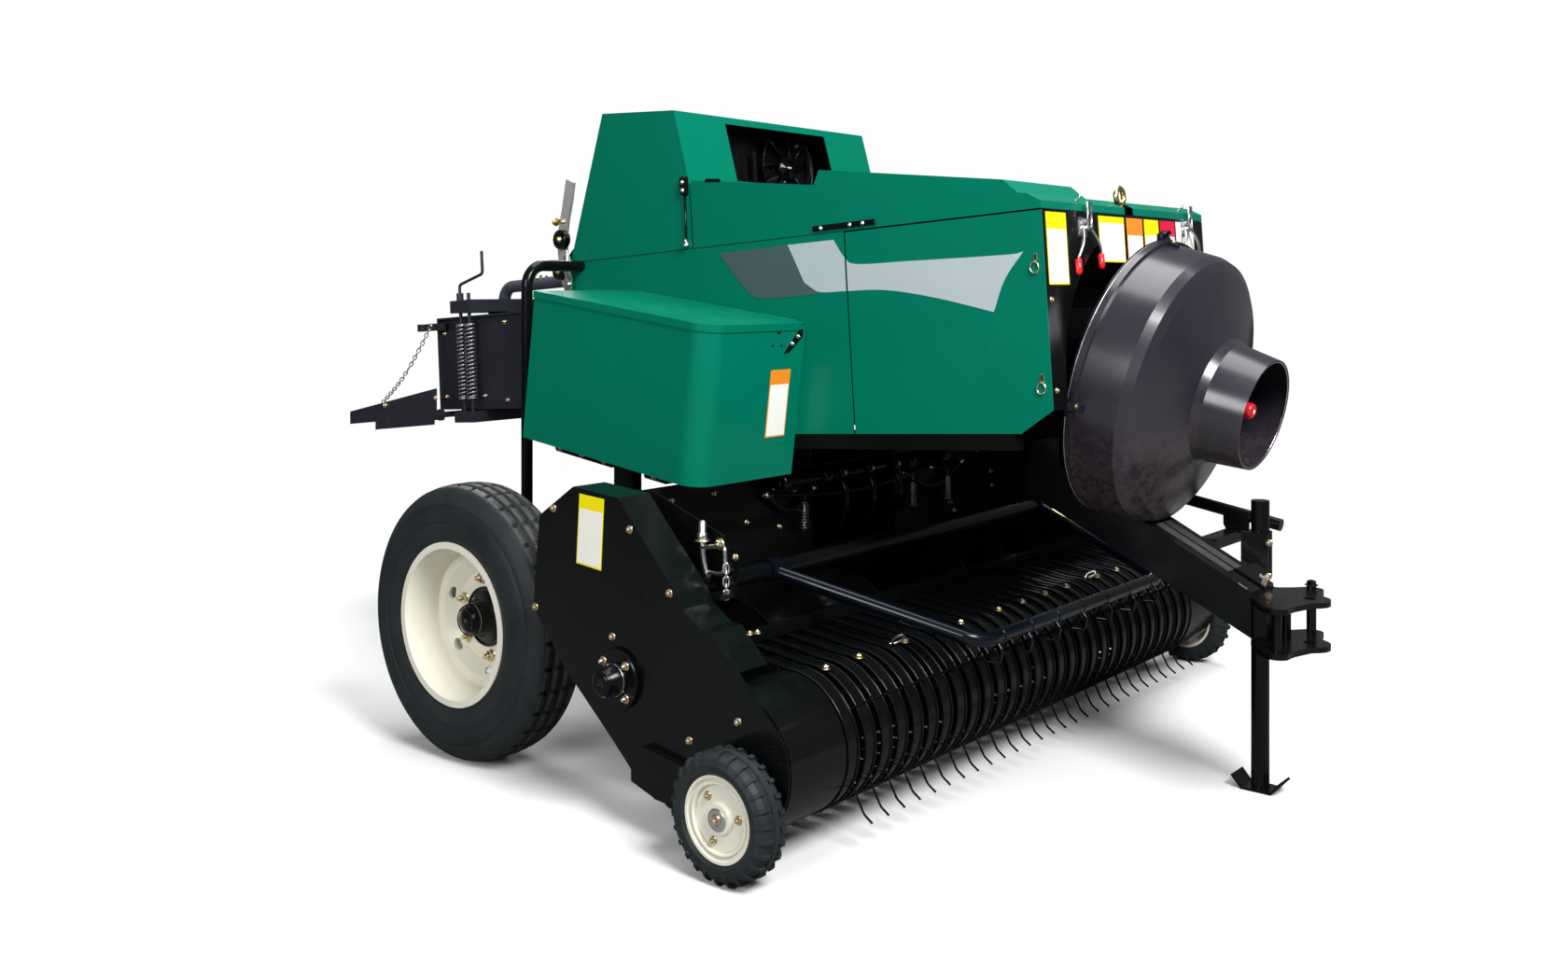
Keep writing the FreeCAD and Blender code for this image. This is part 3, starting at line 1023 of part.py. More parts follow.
def main():
    os.makedirs("parts", exist_ok=True)
    export("chassis_frame", chassis_frame())
    export("axle", axle())
    export("side_panels", side_panels())
    export("rear_panel", rear_panel())
    export("front_panel", front_panel())
    export("hood_spine", hood_spine())
    export("lift_eye", lift_eye())
    export("hood_latches", hood_latches())
    export("knotter_tower", knotter_tower())
    export("knotter_fan", knotter_fan())
    export("bale_chamber", bale_chamber())
    export("density_clamp", density_clamp())
    export("density_springs", density_springs())
    export("gooseneck", gooseneck())
    export("chute_hanger", chute_hanger())
    export("chute", chute())
    export("drive_shield", drive_shield())
    export("bulkhead", bulkhead())
    export("gearbox", gearbox())
    export("input_rotor", input_rotor())
    export("tongue", tongue())
    export("hitch_clevis", hitch_clevis())
    export("jack_sleeve", jack_sleeve())
    export("jack_leg", jack_leg())
    export("tongue_brace", tongue_brace())
    export("feeder_housing", feeder_housing())
    export("pickup_frame", pickup_frame())
    export("pickup_bands", pickup_bands())
    export("pickup_reel", pickup_reel())
    export("auger", auger())
    export("windguard", windguard())
    export("guard_hoops", guard_hoops())
    export("needle_arm", needle_arm())
    for side, sign in SIDES.items():
        export("wheel_rim_" + side, road(for_side(main_rim(), sign)))
        export("wheel_tyre_" + side, road(for_side(main_tyre(), sign)))
        export("door_" + side, door(sign))
        export("hood_" + side, hood(sign))
        export("twine_box_" + side, twine_box(sign))
        export("twine_lid_" + side, twine_lid(sign))
        export("end_plate_" + side, end_plate(sign))
        export("gauge_arm_" + side, gauge_arm(sign))
        export("gauge_rim_" + side, gauge_rim(sign))
        export("gauge_tyre_" + side, gauge_tyre(sign))


main()
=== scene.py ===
import bpy
import bmesh
import json
import math
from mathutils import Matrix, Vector


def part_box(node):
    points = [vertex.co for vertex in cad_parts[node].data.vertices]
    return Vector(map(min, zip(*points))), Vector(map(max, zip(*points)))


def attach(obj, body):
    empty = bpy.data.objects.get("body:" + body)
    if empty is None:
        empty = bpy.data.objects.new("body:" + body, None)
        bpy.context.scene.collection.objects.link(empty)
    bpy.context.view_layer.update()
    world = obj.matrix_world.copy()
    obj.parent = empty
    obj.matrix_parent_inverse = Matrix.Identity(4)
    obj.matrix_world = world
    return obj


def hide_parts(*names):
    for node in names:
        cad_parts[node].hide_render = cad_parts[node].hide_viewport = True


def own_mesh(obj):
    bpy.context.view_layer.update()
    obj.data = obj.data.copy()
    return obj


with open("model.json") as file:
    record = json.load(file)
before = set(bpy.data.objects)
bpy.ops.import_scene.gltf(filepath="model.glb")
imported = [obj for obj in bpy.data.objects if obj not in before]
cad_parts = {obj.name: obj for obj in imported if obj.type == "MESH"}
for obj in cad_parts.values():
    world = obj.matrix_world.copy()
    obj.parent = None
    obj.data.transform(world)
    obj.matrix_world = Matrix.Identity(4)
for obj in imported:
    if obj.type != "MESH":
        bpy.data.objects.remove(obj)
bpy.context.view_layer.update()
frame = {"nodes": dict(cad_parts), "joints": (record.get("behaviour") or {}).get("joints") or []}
nodes = frame["nodes"]
joint = {j["name"]: j for j in frame["joints"]}
X, Y, Z = Vector((1, 0, 0)), Vector((0, 1, 0)), Vector((0, 0, 1))
SIDES = {"right": -1, "left": 1}

# Faces that fittings lie on, in millimetres out from the machine's middle.
PANEL_FACE = 510       # side panels and doors
CHAMBER_FACE = 238.3   # bale chamber's side walls
END_FACE = 1235.2      # pickup's end plates

# The same ahead of the axle.
FRONT_FACE = 1670.2    # body's front panel
FEEDER_FACE = 594.3    # feeder's front wall

BAND_STEP = 70.5       # millimetres from one stripper band to the next


# ---- places: the machine's own frames, in millimetres ----
class Frame:
    """A right-handed set of axes with an origin, which turns millimetres into places of the part."""

    def __init__(self, origin, along, across=Y):
        self.along = Vector(along).normalized()
        self.across = Vector(across).normalized()
        self.up = self.along.cross(self.across)
        self.origin = Vector(origin)

    def __call__(self, a, y, w):
        return self.origin + (self.along * a + self.across * y + self.up * w) / 1000

    def path(self, *triples):
        return [self(a, y, w) for a, y, w in triples]

    def side(self, y, pairs):
        """Places at one distance across, from pairs of along and up."""
        return [self(a, y, w) for a, w in pairs]

    def cross(self, a, pairs):
        """Places at one distance along, from pairs of across and up."""
        return [self(a, y, w) for y, w in pairs]

    def flat(self, w, pairs):
        """Places at one height, from pairs of along and across."""
        return [self(a, y, w) for a, y in pairs]


def pivot(name):
    return Vector(joint[name]["pos_m"])


def oblong(a0, a1, b0, b1):
    """The corners of a rectangle, in order round it."""
    return (a0, b0), (a1, b0), (a1, b1), (a0, b1)


def full_turn(count):
    return [2 * math.pi * k / count for k in range(count)]


def degrees(*angles):
    return [math.radians(a) for a in angles]


def around(centre, first, second, radius, turns):
    """Places on a circle, at the given turns from the first axis towards the second."""
    return [centre + (first * math.cos(t) + second * math.sin(t)) * radius for t in turns]


def helix(bottom, top, first, second, radius, turns, sides):
    """Places along a wound wire, with as many sides to each turn."""
    count = turns * sides
    return [bottom.lerp(top, k / count) + (first * math.cos(t) + second * math.sin(t)) * radius
            for k, t in ((k, 2 * math.pi * k / sides) for k in range(count + 1))]


def curve_points(corners, steps=6):
    """Smooth points through the corners."""
    pts = [Vector(p) for p in corners]
    pts = [pts[0] * 2 - pts[1], *pts, pts[-1] * 2 - pts[-2]]
    out = []
    for a, b, c, d in zip(pts, pts[1:], pts[2:], pts[3:]):
        for k in range(steps):
            t = k / steps
            out.append(0.5 * (2 * b + (c - a) * t + (2 * a - 5 * b + 4 * c - d) * t * t
                              + (3 * b - a - 3 * c + d) * t ** 3))
    return out + [pts[-2]]


def flowing(*corners):
    """Smooth flat outline through the pairs."""
    return [(p.x, p.y) for p in curve_points([(a, b, 0) for a, b in corners], 5)]


def clipped(points, limit, keep_low):
    """The part of a flat outline on one side of a line across it."""
    inside = (lambda p: p[0] <= limit) if keep_low else (lambda p: p[0] >= limit)
    out = []
    for a, b in zip(points, points[1:] + points[:1]):
        if inside(a):
            out.append(a)
        if inside(a) != inside(b):
            t = (limit - a[0]) / (b[0] - a[0])
            out.append((limit, a[1] + (b[1] - a[1]) * t))
    return out


AXLE, LID = pivot("wheel_spin_right"), pivot("twine_lid_lift_left")
on_road = Frame((AXLE.x, 0, 0), X)
on_body = Frame((AXLE.x, 0, AXLE.z), joint["fan_spin"]["axis"])
on_drive = Frame(pivot("input_spin"), joint["input_spin"]["axis"])
on_lid = Frame((LID.x, 0, LID.z), joint["twine_lid_lift_left"]["axis"])


# ---- camera, floor and light ----
def stand_camera():
    """Eye height a little over the hitch, looking level at the machine's right front corner."""
    lens = bpy.data.cameras.new("camera")
    lens.lens = 32.14
    lens.sensor_width = 36.0
    lens.shift_y = -0.1304
    lens.clip_end = 200.0
    eye = bpy.data.objects.new("camera", lens)
    bpy.context.scene.collection.objects.link(eye)
    eye.location = (3.326, -3.765, 1.42)
    eye.rotation_euler = (math.radians(90), 0, math.radians(40))
    bpy.context.scene.camera = eye
    bpy.context.scene.view_settings.view_transform = "Standard"


def lay_floor():
    """White floor that shows as plain white but keeps the machine's shadow."""
    mesh = bpy.data.meshes.new("studio_floor")
    mesh.from_pydata([(-60, -60, 0), (60, -60, 0), (60, 60, 0), (-60, 60, 0)], [], [(0, 1, 2, 3)])
    floor = bpy.data.objects.new("studio_floor", mesh)
    bpy.context.scene.collection.objects.link(floor)
    material = bpy.data.materials.new("studio_floor")
    material.use_nodes = True
    w = Wiring(material.node_tree)
    surface = w.tree.nodes["Principled BSDF"]
    w.feed(surface, Base_Color=(0.93, 0.93, 0.93, 1), Roughness=1.0, Specular_IOR_Level=0.0)
    far = w.feed(w.add("VectorMath", operation="LENGTH"), w.add("TexCoord").outputs["Object"])
    plain_from, plain_to = 1.8, 3.4    # metres from the middle: shadows fade out between these
    shown = w.mix_shaders(w.spread(far.outputs["Value"], plain_from, plain_to), surface, w.add("Emission"))
    dim = w.feed(w.add("BsdfDiffuse"), Color=(0.2, 0.2, 0.2, 1))    # what the machine sees of the floor
    choose = w.mix_shaders(w.add("LightPath").outputs["Is Camera Ray"], dim, shown)
    w.feed(w.tree.nodes["Material Output"], Surface=choose.outputs[0])
    mesh.materials.append(material)


def hang_lamp(name, place, aim, size, power):
    lamp = bpy.data.lights.new(name, "AREA")
    lamp.shape = "RECTANGLE"
    lamp.size, lamp.size_y = size
    lamp.energy = power
    holder = bpy.data.objects.new(name, lamp)
    bpy.context.scene.collection.objects.link(holder)
    holder.location = place
    holder.rotation_euler = (Vector(aim) - Vector(place)).to_track_quat("-Z", "Y").to_euler()


def light_studio():
    """A white room: the backdrop shows white, and lights the machine softly from all round."""
    world = bpy.data.worlds.new("studio")
    bpy.context.scene.world = world
    world.use_nodes = True
    w = Wiring(world.node_tree)
    w.tree.nodes.clear()
    soft = w.feed(w.add("Background"), Color=(0.93, 0.97, 1.0, 1), Strength=0.16)
    white = w.feed(w.add("Background"), Color=(1, 1, 1, 1))
    choose = w.mix_shaders(w.add("LightPath").outputs["Is Camera Ray"], soft, white)
    w.feed(w.add("OutputWorld"), Surface=choose.outputs[0])
    hang_lamp("key", (4.8, -2.2, 4.6), (0, 0, 0.8), (2.2, 2.2), 450)
    hang_lamp("side", (1.6, -6.6, 2.8), (0.1, 0, 0.7), (2.6, 2.2), 165)
    hang_lamp("far_sky", (-3.4, 4.2, 4.4), (0.6, 0, 1.0), (4, 2.4), 240)
    hang_lamp("top", (0, 0.5, 6.5), (0, 0, 0.8), (6, 4), 330)


# ---- shader groups ----
class Wiring:
    """Short words for building a node tree."""

    def __init__(self, tree):
        self.tree = tree

    def add(self, kind, **settings):
        node = self.tree.nodes.new("ShaderNode" + kind)
        for name, value in settings.items():
            setattr(node, name, value)
        return node

    def group_end(self, which):
        return self.tree.nodes.new("NodeGroup" + which)

    def feed(self, node, *first, **named):
        """Gives a node's sockets, the first ones in order and others by name, a value or a link each."""
        for key, value in [*enumerate(first), *((name.replace("_", " "), v) for name, v in named.items())]:
            if isinstance(value, bpy.types.NodeSocket):
                self.tree.links.new(value, node.inputs[key])
            else:
                node.inputs[key].default_value = value
        return node

    def math(self, operation, a, b=0.0, clamp=False):
        return self.feed(self.add("Math", operation=operation, use_clamp=clamp), a, b).outputs[0]

    def times(self, a, b, clamp=False):
        return self.math("MULTIPLY", a, b, clamp)

    def plus(self, a, b):
        return self.math("ADD", a, b)

    def spread(self, value, low, high, out_low=0.0, out_high=1.0):
        return self.feed(self.add("MapRange"), value, low, high, out_low, out_high).outputs[0]

    def noise(self, place, scale, detail=3.0, rough=0.55):
        node = self.add("TexNoise")
        return self.feed(node, Vector=place, Scale=scale, Detail=detail, Roughness=rough).outputs["Fac"]

    def blend(self, mask, first, second):
        return self.feed(self.add("Mix", data_type="RGBA"), Factor=mask, A=first, B=second).outputs["Result"]

    def mix_shaders(self, mask, first, second):
        return self.feed(self.add("MixShader"), mask, first.outputs[0], second.outputs[0])


def shader_group(name, takes):
    """An empty group with its sockets, its wiring, and its input and output nodes."""
    tree = bpy.data.node_groups.new(name, "ShaderNodeTree")
    for label, value in takes.items():
        kind = "Color" if isinstance(value, tuple) else "Float"
        socket = tree.interface.new_socket(label, in_out="INPUT", socket_type="NodeSocket" + kind)
        socket.default_value = (*value, 1) if kind == "Color" else value
    for label, kind in (("Colour", "Color"), ("Roughness", "Float"), ("Height", "Float")):
        tree.interface.new_socket(label, in_out="OUTPUT", socket_type="NodeSocket" + kind)
    w = Wiring(tree)
    return tree, w, w.group_end("Input").outputs, w.group_end("Output")


def make_enamel_group():
    """Sprayed finish: slow changes of shade, fine orange peel, dust where it faces up and worn edges."""
    tree, w, take, give = shader_group("sprayed_finish", {
        "Colour": (0.5, 0.5, 0.5), "Shade": (0.4, 0.4, 0.4), "Dust": (0.4, 0.38, 0.33), "Dust Amount": 0.2,
        "Wear Amount": 0.1, "Wear Colour": (0.3, 0.3, 0.3), "Roughness": 0.3, "Peel": 0.3})
    place = w.add("TexCoord").outputs["Object"]
    lean = w.feed(w.add("SeparateXYZ"), w.add("NewGeometry").outputs["Normal"])
    slow = w.noise(place, 2.2, 2.0)
    cloud = w.noise(place, 14.0, 6.0, 0.7)
    speck = w.noise(place, 160.0, 3.0, 0.6)
    colour = w.blend(w.spread(slow, 0.35, 0.7), take["Colour"], take["Shade"])
    facing = w.spread(lean.outputs["Z"], 0.3, 0.95)
    dust = w.times(w.times(facing, w.spread(cloud, 0.42, 0.72)), take["Dust Amount"], clamp=True)
    colour = w.blend(dust, colour, take["Dust"])
    rub = w.times(w.spread(speck, 0.62, 0.7), w.spread(w.noise(place, 7.0, 2.0), 0.6, 0.72))
    worn = w.times(rub, take["Wear Amount"], clamp=True)
    dull = w.times(w.plus(dust, w.spread(cloud, 0.3, 0.8, -0.03, 0.04)), 0.5)
    w.feed(give, Colour=w.blend(worn, colour, take["Wear Colour"]), Roughness=w.plus(take["Roughness"], dull),
           Height=w.times(speck, take["Peel"]))
    return tree


def make_metal_group():
    """Plated or bare metal: brushed streaks, dull spots and a tint in patches."""
    tree, w, take, give = shader_group("plated_metal", {
        "Colour": (0.6, 0.6, 0.6), "Tint": (0.6, 0.5, 0.3), "Tint Amount": 0.5, "Roughness": 0.3, "Scale": 60.0})
    place = w.add("TexCoord").outputs["Object"]
    patch = w.noise(place, take["Scale"], 3.0)
    fine = w.noise(place, w.times(take["Scale"], 7.0), 4.0, 0.7)
    mask = w.times(w.spread(patch, 0.38, 0.66), take["Tint Amount"], clamp=True)
    w.feed(give, Colour=w.blend(mask, take["Colour"], take["Tint"]),
           Roughness=w.plus(take["Roughness"], w.spread(fine, 0.3, 0.7, -0.08, 0.14)), Height=fine)
    return tree


def make_rubber_group():
    """Rubber or moulded plastic: fine pores, greyed patches and brown dust low down."""
    tree, w, take, give = shader_group("moulded_skin", {
        "Colour": (0.02, 0.02, 0.02), "Bloom": (0.05, 0.055, 0.06), "Dust": (0.25, 0.2, 0.17),
        "Dust Amount": 0.0, "Dust Top": 0.5, "Roughness": 0.6, "Scale": 9.0})
    place = w.add("TexCoord").outputs["Object"]
    high = w.feed(w.add("SeparateXYZ"), place)
    cloud = w.noise(place, take["Scale"], 5.0, 0.65)
    pores = w.noise(place, 420.0, 2.0)
    grit = w.noise(place, 45.0, 6.0, 0.75)
    colour = w.blend(w.spread(cloud, 0.35, 0.7), take["Colour"], take["Bloom"])
    low = w.spread(w.math("SUBTRACT", take["Dust Top"], high.outputs["Z"]), 0.0, 0.35)
    dust = w.times(w.times(low, w.spread(grit, 0.4, 0.62)), take["Dust Amount"], clamp=True)
    dull = w.times(w.plus(dust, w.spread(cloud, 0.3, 0.7, -0.1, 0.1)), 0.5)
    w.feed(give, Colour=w.blend(dust, colour, take["Dust"]), Roughness=w.plus(take["Roughness"], dull),
           Height=w.plus(pores, w.times(dust, 2.0)))
    return tree


ENAMEL, METAL, SKIN = make_enamel_group(), make_metal_group(), make_rubber_group()


def finish(name, group, bump, coat=0.0, metal=0.0, specular=0.5, coat_blur=0.12, **values):
    """A material whose colour, roughness and bump come from one of the groups."""
    material = bpy.data.materials.new(name)
    material.use_nodes = True
    w = Wiring(material.node_tree)
    values = {label: (*v, 1) if isinstance(v, tuple) else v for label, v in values.items()}
    body = w.feed(w.add("Group", node_tree=group), **values).outputs
    relief = w.feed(w.add("Bump"), Strength=bump, Distance=0.002, Height=body["Height"])
    w.feed(w.tree.nodes["Principled BSDF"], Base_Color=body["Colour"], Roughness=body["Roughness"], Metallic=metal,
           Normal=relief.outputs["Normal"], Coat_Weight=coat, Coat_Roughness=coat_blur, Specular_IOR_Level=specular)
    return material


def flat_finish(name, colour, shade, coat=0.0, scale=12.0):
    """A smooth printed colour, for blank plates and stripes."""
    return finish(name, SKIN, 0.02, coat, specular=0.2, Colour=colour, Bloom=shade, Roughness=0.35, Scale=scale)


GREEN = finish(
    "green_enamel", ENAMEL, 0.03, coat=0.08, specular=0.07, Colour=(0.0, 0.162, 0.1), Shade=(0.0, 0.153, 0.095),
    Dust=(0.05, 0.25, 0.17), Dust_Amount=0.1, Wear_Amount=0.25, Wear_Colour=(0.05, 0.3, 0.2), Roughness=0.34)
BLACK = finish(
    "black_enamel", ENAMEL, 0.03, coat=0.22, specular=0.12, Colour=(0.0022, 0.0026, 0.003),
    Shade=(0.0035, 0.004, 0.0045), Dust=(0.02, 0.02, 0.02), Dust_Amount=0.1, Wear_Amount=0.3,
    Wear_Colour=(0.06, 0.06, 0.06), Roughness=0.24)
FRAME_BLACK = finish(
    "black_frame_paint", ENAMEL, 0.06, coat=0.08, specular=0.1, Colour=(0.0022, 0.0022, 0.0024),
    Shade=(0.0045, 0.0045, 0.0045), Dust=(0.03, 0.028, 0.025), Dust_Amount=0.14, Wear_Amount=0.4,
    Wear_Colour=(0.08, 0.075, 0.07), Roughness=0.36)
CHAMBER = finish(
    "dark_grey_paint", ENAMEL, 0.06, coat=0.1, specular=0.25, Colour=(0.030, 0.031, 0.042),
    Shade=(0.021, 0.022, 0.031), Dust=(0.07, 0.075, 0.085), Dust_Amount=0.14, Wear_Amount=0.5,
    Wear_Colour=(0.14, 0.15, 0.17), Roughness=0.34)
BLUE_GREY = finish(
    "blue_grey_paint", ENAMEL, 0.06, coat=0.2, specular=0.3, Colour=(0.085, 0.09, 0.12), Shade=(0.05, 0.055, 0.08),
    Dust_Amount=0.06, Wear_Amount=0.5, Roughness=0.32)
CREAM = finish(
    "cream_enamel", ENAMEL, 0.04, coat=0.25, specular=0.3, Colour=(0.87, 0.845, 0.73), Shade=(0.83, 0.80, 0.67),
    Dust=(0.5, 0.45, 0.34), Dust_Amount=0.06, Wear_Amount=0.15, Wear_Colour=(0.45, 0.4, 0.32), Roughness=0.32)
SHIELD = finish(
    "shield_plastic", SKIN, 0.03, coat=0.5, coat_blur=0.3, Colour=(0.016, 0.0135, 0.02), Bloom=(0.023, 0.0195, 0.029),
    Dust=(0.1, 0.066, 0.066), Dust_Amount=0.9, Dust_Top=1.08, Roughness=0.2, Scale=3.0)
RUBBER = finish(
    "tyre_rubber", SKIN, 0.2, specular=0.25, Colour=(0.011, 0.015, 0.0165), Bloom=(0.021, 0.027, 0.029),
    Dust_Amount=0.08, Dust_Top=0.15, Roughness=0.5, Scale=5.0)
TREAD = finish(
    "scuffed_tread", SKIN, 0.3, specular=0.3, Colour=(0.028, 0.028, 0.027), Bloom=(0.07, 0.07, 0.066),
    Dust_Amount=0.1, Dust_Top=0.12, Roughness=0.5, Scale=30.0)
SOFT_BLACK = finish(
    "black_plastic", SKIN, 0.08, specular=0.2, Colour=(0.0035, 0.0035, 0.004), Bloom=(0.007, 0.007, 0.0075),
    Roughness=0.3)
NAVY_RUBBER = finish(
    "blue_black_rubber", SKIN, 0.1, coat=0.2, specular=0.3, Colour=(0.004, 0.004, 0.016), Bloom=(0.007, 0.006, 0.028),
    Roughness=0.3)
RED = finish(
    "red_plastic", SKIN, 0.05, coat=0.2, Colour=(0.75, 0.012, 0.02), Bloom=(0.62, 0.01, 0.018), Roughness=0.3,
    Scale=20.0)
ZINC = finish(
    "yellow_zinc", METAL, 0.05, metal=1.0, Colour=(0.8, 0.72, 0.55), Tint=(0.85, 0.58, 0.3), Tint_Amount=0.9,
    Roughness=0.22)
STEEL = finish(
    "bright_steel", METAL, 0.05, metal=1.0, Colour=(0.72, 0.72, 0.73), Tint=(0.46, 0.45, 0.44), Roughness=0.24)
COIL = finish(
    "oiled_coil_steel", METAL, 0.05, metal=0.9, Colour=(0.5, 0.5, 0.52), Tint=(0.3, 0.3, 0.32), Roughness=0.25)
REEL_BLACK = finish(
    "dull_black_paint", ENAMEL, 0.08, specular=0.04, Colour=(0.003, 0.003, 0.003), Shade=(0.006, 0.006, 0.006),
    Dust=(0.03, 0.027, 0.025), Dust_Amount=0.1, Wear_Amount=0.3, Wear_Colour=(0.08, 0.075, 0.07), Roughness=0.6)
# Black enamel for the windguard: the paint is black, and the blue tint in its colour is a painted reflection of the
# sky.
BLACK_WITH_SKY_SHEEN = finish(
    "black_enamel_painted_sky_sheen", ENAMEL, 0.03, coat=0.35, specular=0.2, Colour=(0.0015, 0.0032, 0.0065),
    Shade=(0.0024, 0.0045, 0.009), Dust=(0.02, 0.02, 0.02), Dust_Amount=0.05, Wear_Amount=0.2,
    Wear_Colour=(0.05, 0.05, 0.055), Roughness=0.22)
BRASS = finish(
    "yellow_passivate", METAL, 0.05, metal=1.0, Colour=(0.78, 0.6, 0.26), Tint=(0.5, 0.42, 0.2), Roughness=0.28,
    Scale=40.0)
GREY_PAD = finish(
    "grey_tread_strip", SKIN, 0.4, specular=0.2, Colour=(0.06, 0.056, 0.052), Bloom=(0.085, 0.08, 0.075),
    Roughness=0.5, Scale=30.0)
PALE = finish(
    "pale_grey_paint", ENAMEL, 0.05, specular=0.3, Colour=(0.4, 0.4, 0.38), Shade=(0.3, 0.3, 0.29), Wear_Amount=0.6,
    Wear_Colour=(0.1, 0.1, 0.1), Roughness=0.36)
SILVER = flat_finish("silver_stripe", (0.43, 0.50, 0.52), (0.41, 0.475, 0.495), 0.15, 4.0)
SLATE = flat_finish("slate_stripe", (0.058, 0.095, 0.1), (0.064, 0.103, 0.108), 0.15, 4.0)
WHITE = flat_finish("white_plate", (0.92, 0.9, 0.84), (0.88, 0.86, 0.8))
YELLOW = flat_finish("yellow_plate", (0.92, 0.8, 0.005), (0.88, 0.76, 0.005))
ORANGE = flat_finish("orange_plate", (0.87, 0.27, 0.02), (0.82, 0.25, 0.02))
CRIMSON = flat_finish("red_plate", (0.7, 0.012, 0.05), (0.64, 0.01, 0.045))

# The finish of the nodes whose names start so; every other node is black enamel.
NODE_FINISH = (
    (CHAMBER, ("bale_chamber", "density_clamp", "chute")), (SHIELD, ("drive_shield",)), (BRASS, ("lift_eye",)),
    (BLUE_GREY, ("gooseneck", "needle_arm")), (STEEL, ("hood_latches", "density_springs")),
    (REEL_BLACK, ("pickup_reel",)), (BLACK_WITH_SKY_SHEEN, ("windguard",)), (SOFT_BLACK, ("knotter_fan",)),
    (FRAME_BLACK, ("gearbox", "axle", "auger", "feeder_housing", "chassis_frame")),
    (GREEN, ("side_panels", "door_", "hood_right", "hood_left", "hood_spine", "knotter_tower", "twine_",
             "rear_panel")),
    (CREAM, ("wheel_rim", "gauge_rim")), (RUBBER, ("wheel_tyre", "gauge_tyre")))


def dress_nodes():
    for name, node in nodes.items():
        chosen = next((m for m, starts in NODE_FINISH if name.startswith(starts)), BLACK)
        node.data.materials.clear()
        node.data.materials.append(chosen)


# ---- mesh tools ----
class Piece:
    """One mesh under construction, in metres, with a few ways of adding closed forms to it."""

    def __init__(self, name, material, more=()):
        self.name, self.mesh = name, bmesh.new()
        self.materials = [material, *more]

    def skin(self, rings, closed=False, kind=0, smooth=True):
        """Faces between rings of points; the ends are capped unless the last ring meets the first."""
        made = [[self.mesh.verts.new(p) for p in ring] for ring in rings]
        for one, two in [*zip(made, made[1:]), *([(made[-1], made[0])] if closed else [])]:
            for k in range(len(one)):
                n = (k + 1) % len(one)
                face = self.mesh.faces.new((one[k], one[n], two[n], two[k]))
                face.material_index, face.smooth = kind, smooth
        if not closed:
            for ring in (made[0][::-1], made[-1]):
                self.mesh.faces.new(ring).material_index = kind

    def lathe(self, profile, centre, axis, steps=32, kind=0):
        """Turns a closed profile of (along, radius) points about an axis."""
        axis = Vector(axis).normalized()
        side = axis.orthogonal().normalized()
        self.skin([[centre + axis * a + out * max(r, 1e-5) for a, r in profile]
                   for out in around(Vector(), side, axis.cross(side), 1, full_turn(steps))], True, kind)

    def ring(self, centre, axis, inner, outer, start, end, steps, kind=0):
        """A plain ring, or a disc where the inner radius is nothing."""
        self.lathe([(start, inner), (start, outer), (end, outer), (end, inner)], centre, axis, steps, kind)

    def tube(self, path, radius, sides=10, closed=False, kind=0):
        """A round wire or pipe through the points."""
        path = [Vector(p) for p in path]
        count = len(path)
        rings, last = [], None
        for k, place in enumerate(path):
            before = path[k - 1] if k or closed else place
            after = path[(k + 1) % count] if k < count - 1 or closed else place
            ahead = (after - before).normalized()
            side = (last - ahead * last.dot(ahead)) if last else ahead.orthogonal()
            side.normalize()
            last = side
            rings.append(around(place, side, ahead.cross(side), radius, full_turn(sides)))
        self.skin(rings, closed, kind)

    def rod(self, corners, radius, *more, **named):
        """A bent wire, smooth through the corners."""
        self.tube(curve_points(corners), radius, *more, **named)

    def plate(self, outline, depth, bevel=0.0, kind=0):
        """A flat plate from its outline's places, thickened by the vector depth."""
        depth = Vector(depth)
        near = [Vector(p) for p in outline]
        middle = sum(near, Vector()) / len(near)
        rings = [near, [p + depth * (0.75 if bevel else 1.0) for p in near]]
        if bevel:
            rings.append([p + depth - (p - middle).normalized() * bevel for p in near])
        self.skin(rings, kind=kind, smooth=False)

    def bolt(self, place, out, flats=17.0, tall=8.0, kind=0, acorn=False):
        """Washer and six-sided head, sizes in mm, with its rounded top or an acorn nut's dome."""
        place, out = Vector(place), Vector(out).normalized()
        side = out.orthogonal().normalized()
        r, h = flats / 2000 / math.cos(math.pi / 6), tall / 1000
        self.ring(place, out, 0.35 * r, r * 1.28, 0, 0.0016, 20, kind)
        self.skin([around(place + out * a, side, out.cross(side), b, full_turn(6))
                   for a, b in ((0.0014, r), (h * 0.82, r), (h, r * 0.86))], kind=kind, smooth=False)
        if acorn:
            dome = [(h * 0.9, 1e-4), (h * 0.9, r * 0.78), (h * 1.35, r * 0.7), (h * 1.75, r * 0.4), (h * 1.9, 1e-4)]
            self.lathe(dome, place, out, 14, kind)
        else:
            self.lathe([(h, 1e-4), (h, r * 0.45), (h + 0.002, r * 0.42), (h + 0.003, 1e-4)], place, out, 12, kind)

    def bolts(self, places, out, *size, **more):
        for place in places:
            self.bolt(place, out, *size, **more)

    def link(self, centre, along, turn, half, wire):
        """One link of a chain; turn lays it across the next."""
        along = Vector(along).normalized()
        side = along.orthogonal().normalized()
        if turn:
            side = along.cross(side)
        self.tube([centre + along * (half * math.cos(t) + math.copysign(half * 0.25, math.cos(t)))
                   + side * half * 0.72 * math.sin(t) for t in full_turn(16)], wire, 6, closed=True)

    def mirrored(self):
        """Adds the same forms on the machine's other side."""
        whole = self.mesh.verts[:] + self.mesh.edges[:] + self.mesh.faces[:]
        both = bmesh.ops.duplicate(self.mesh, geom=whole)["geom"]
        for v in (g for g in both if isinstance(g, bmesh.types.BMVert)):
            v.co.y = -v.co.y
        bmesh.ops.reverse_faces(self.mesh, faces=[g for g in both if isinstance(g, bmesh.types.BMFace)])

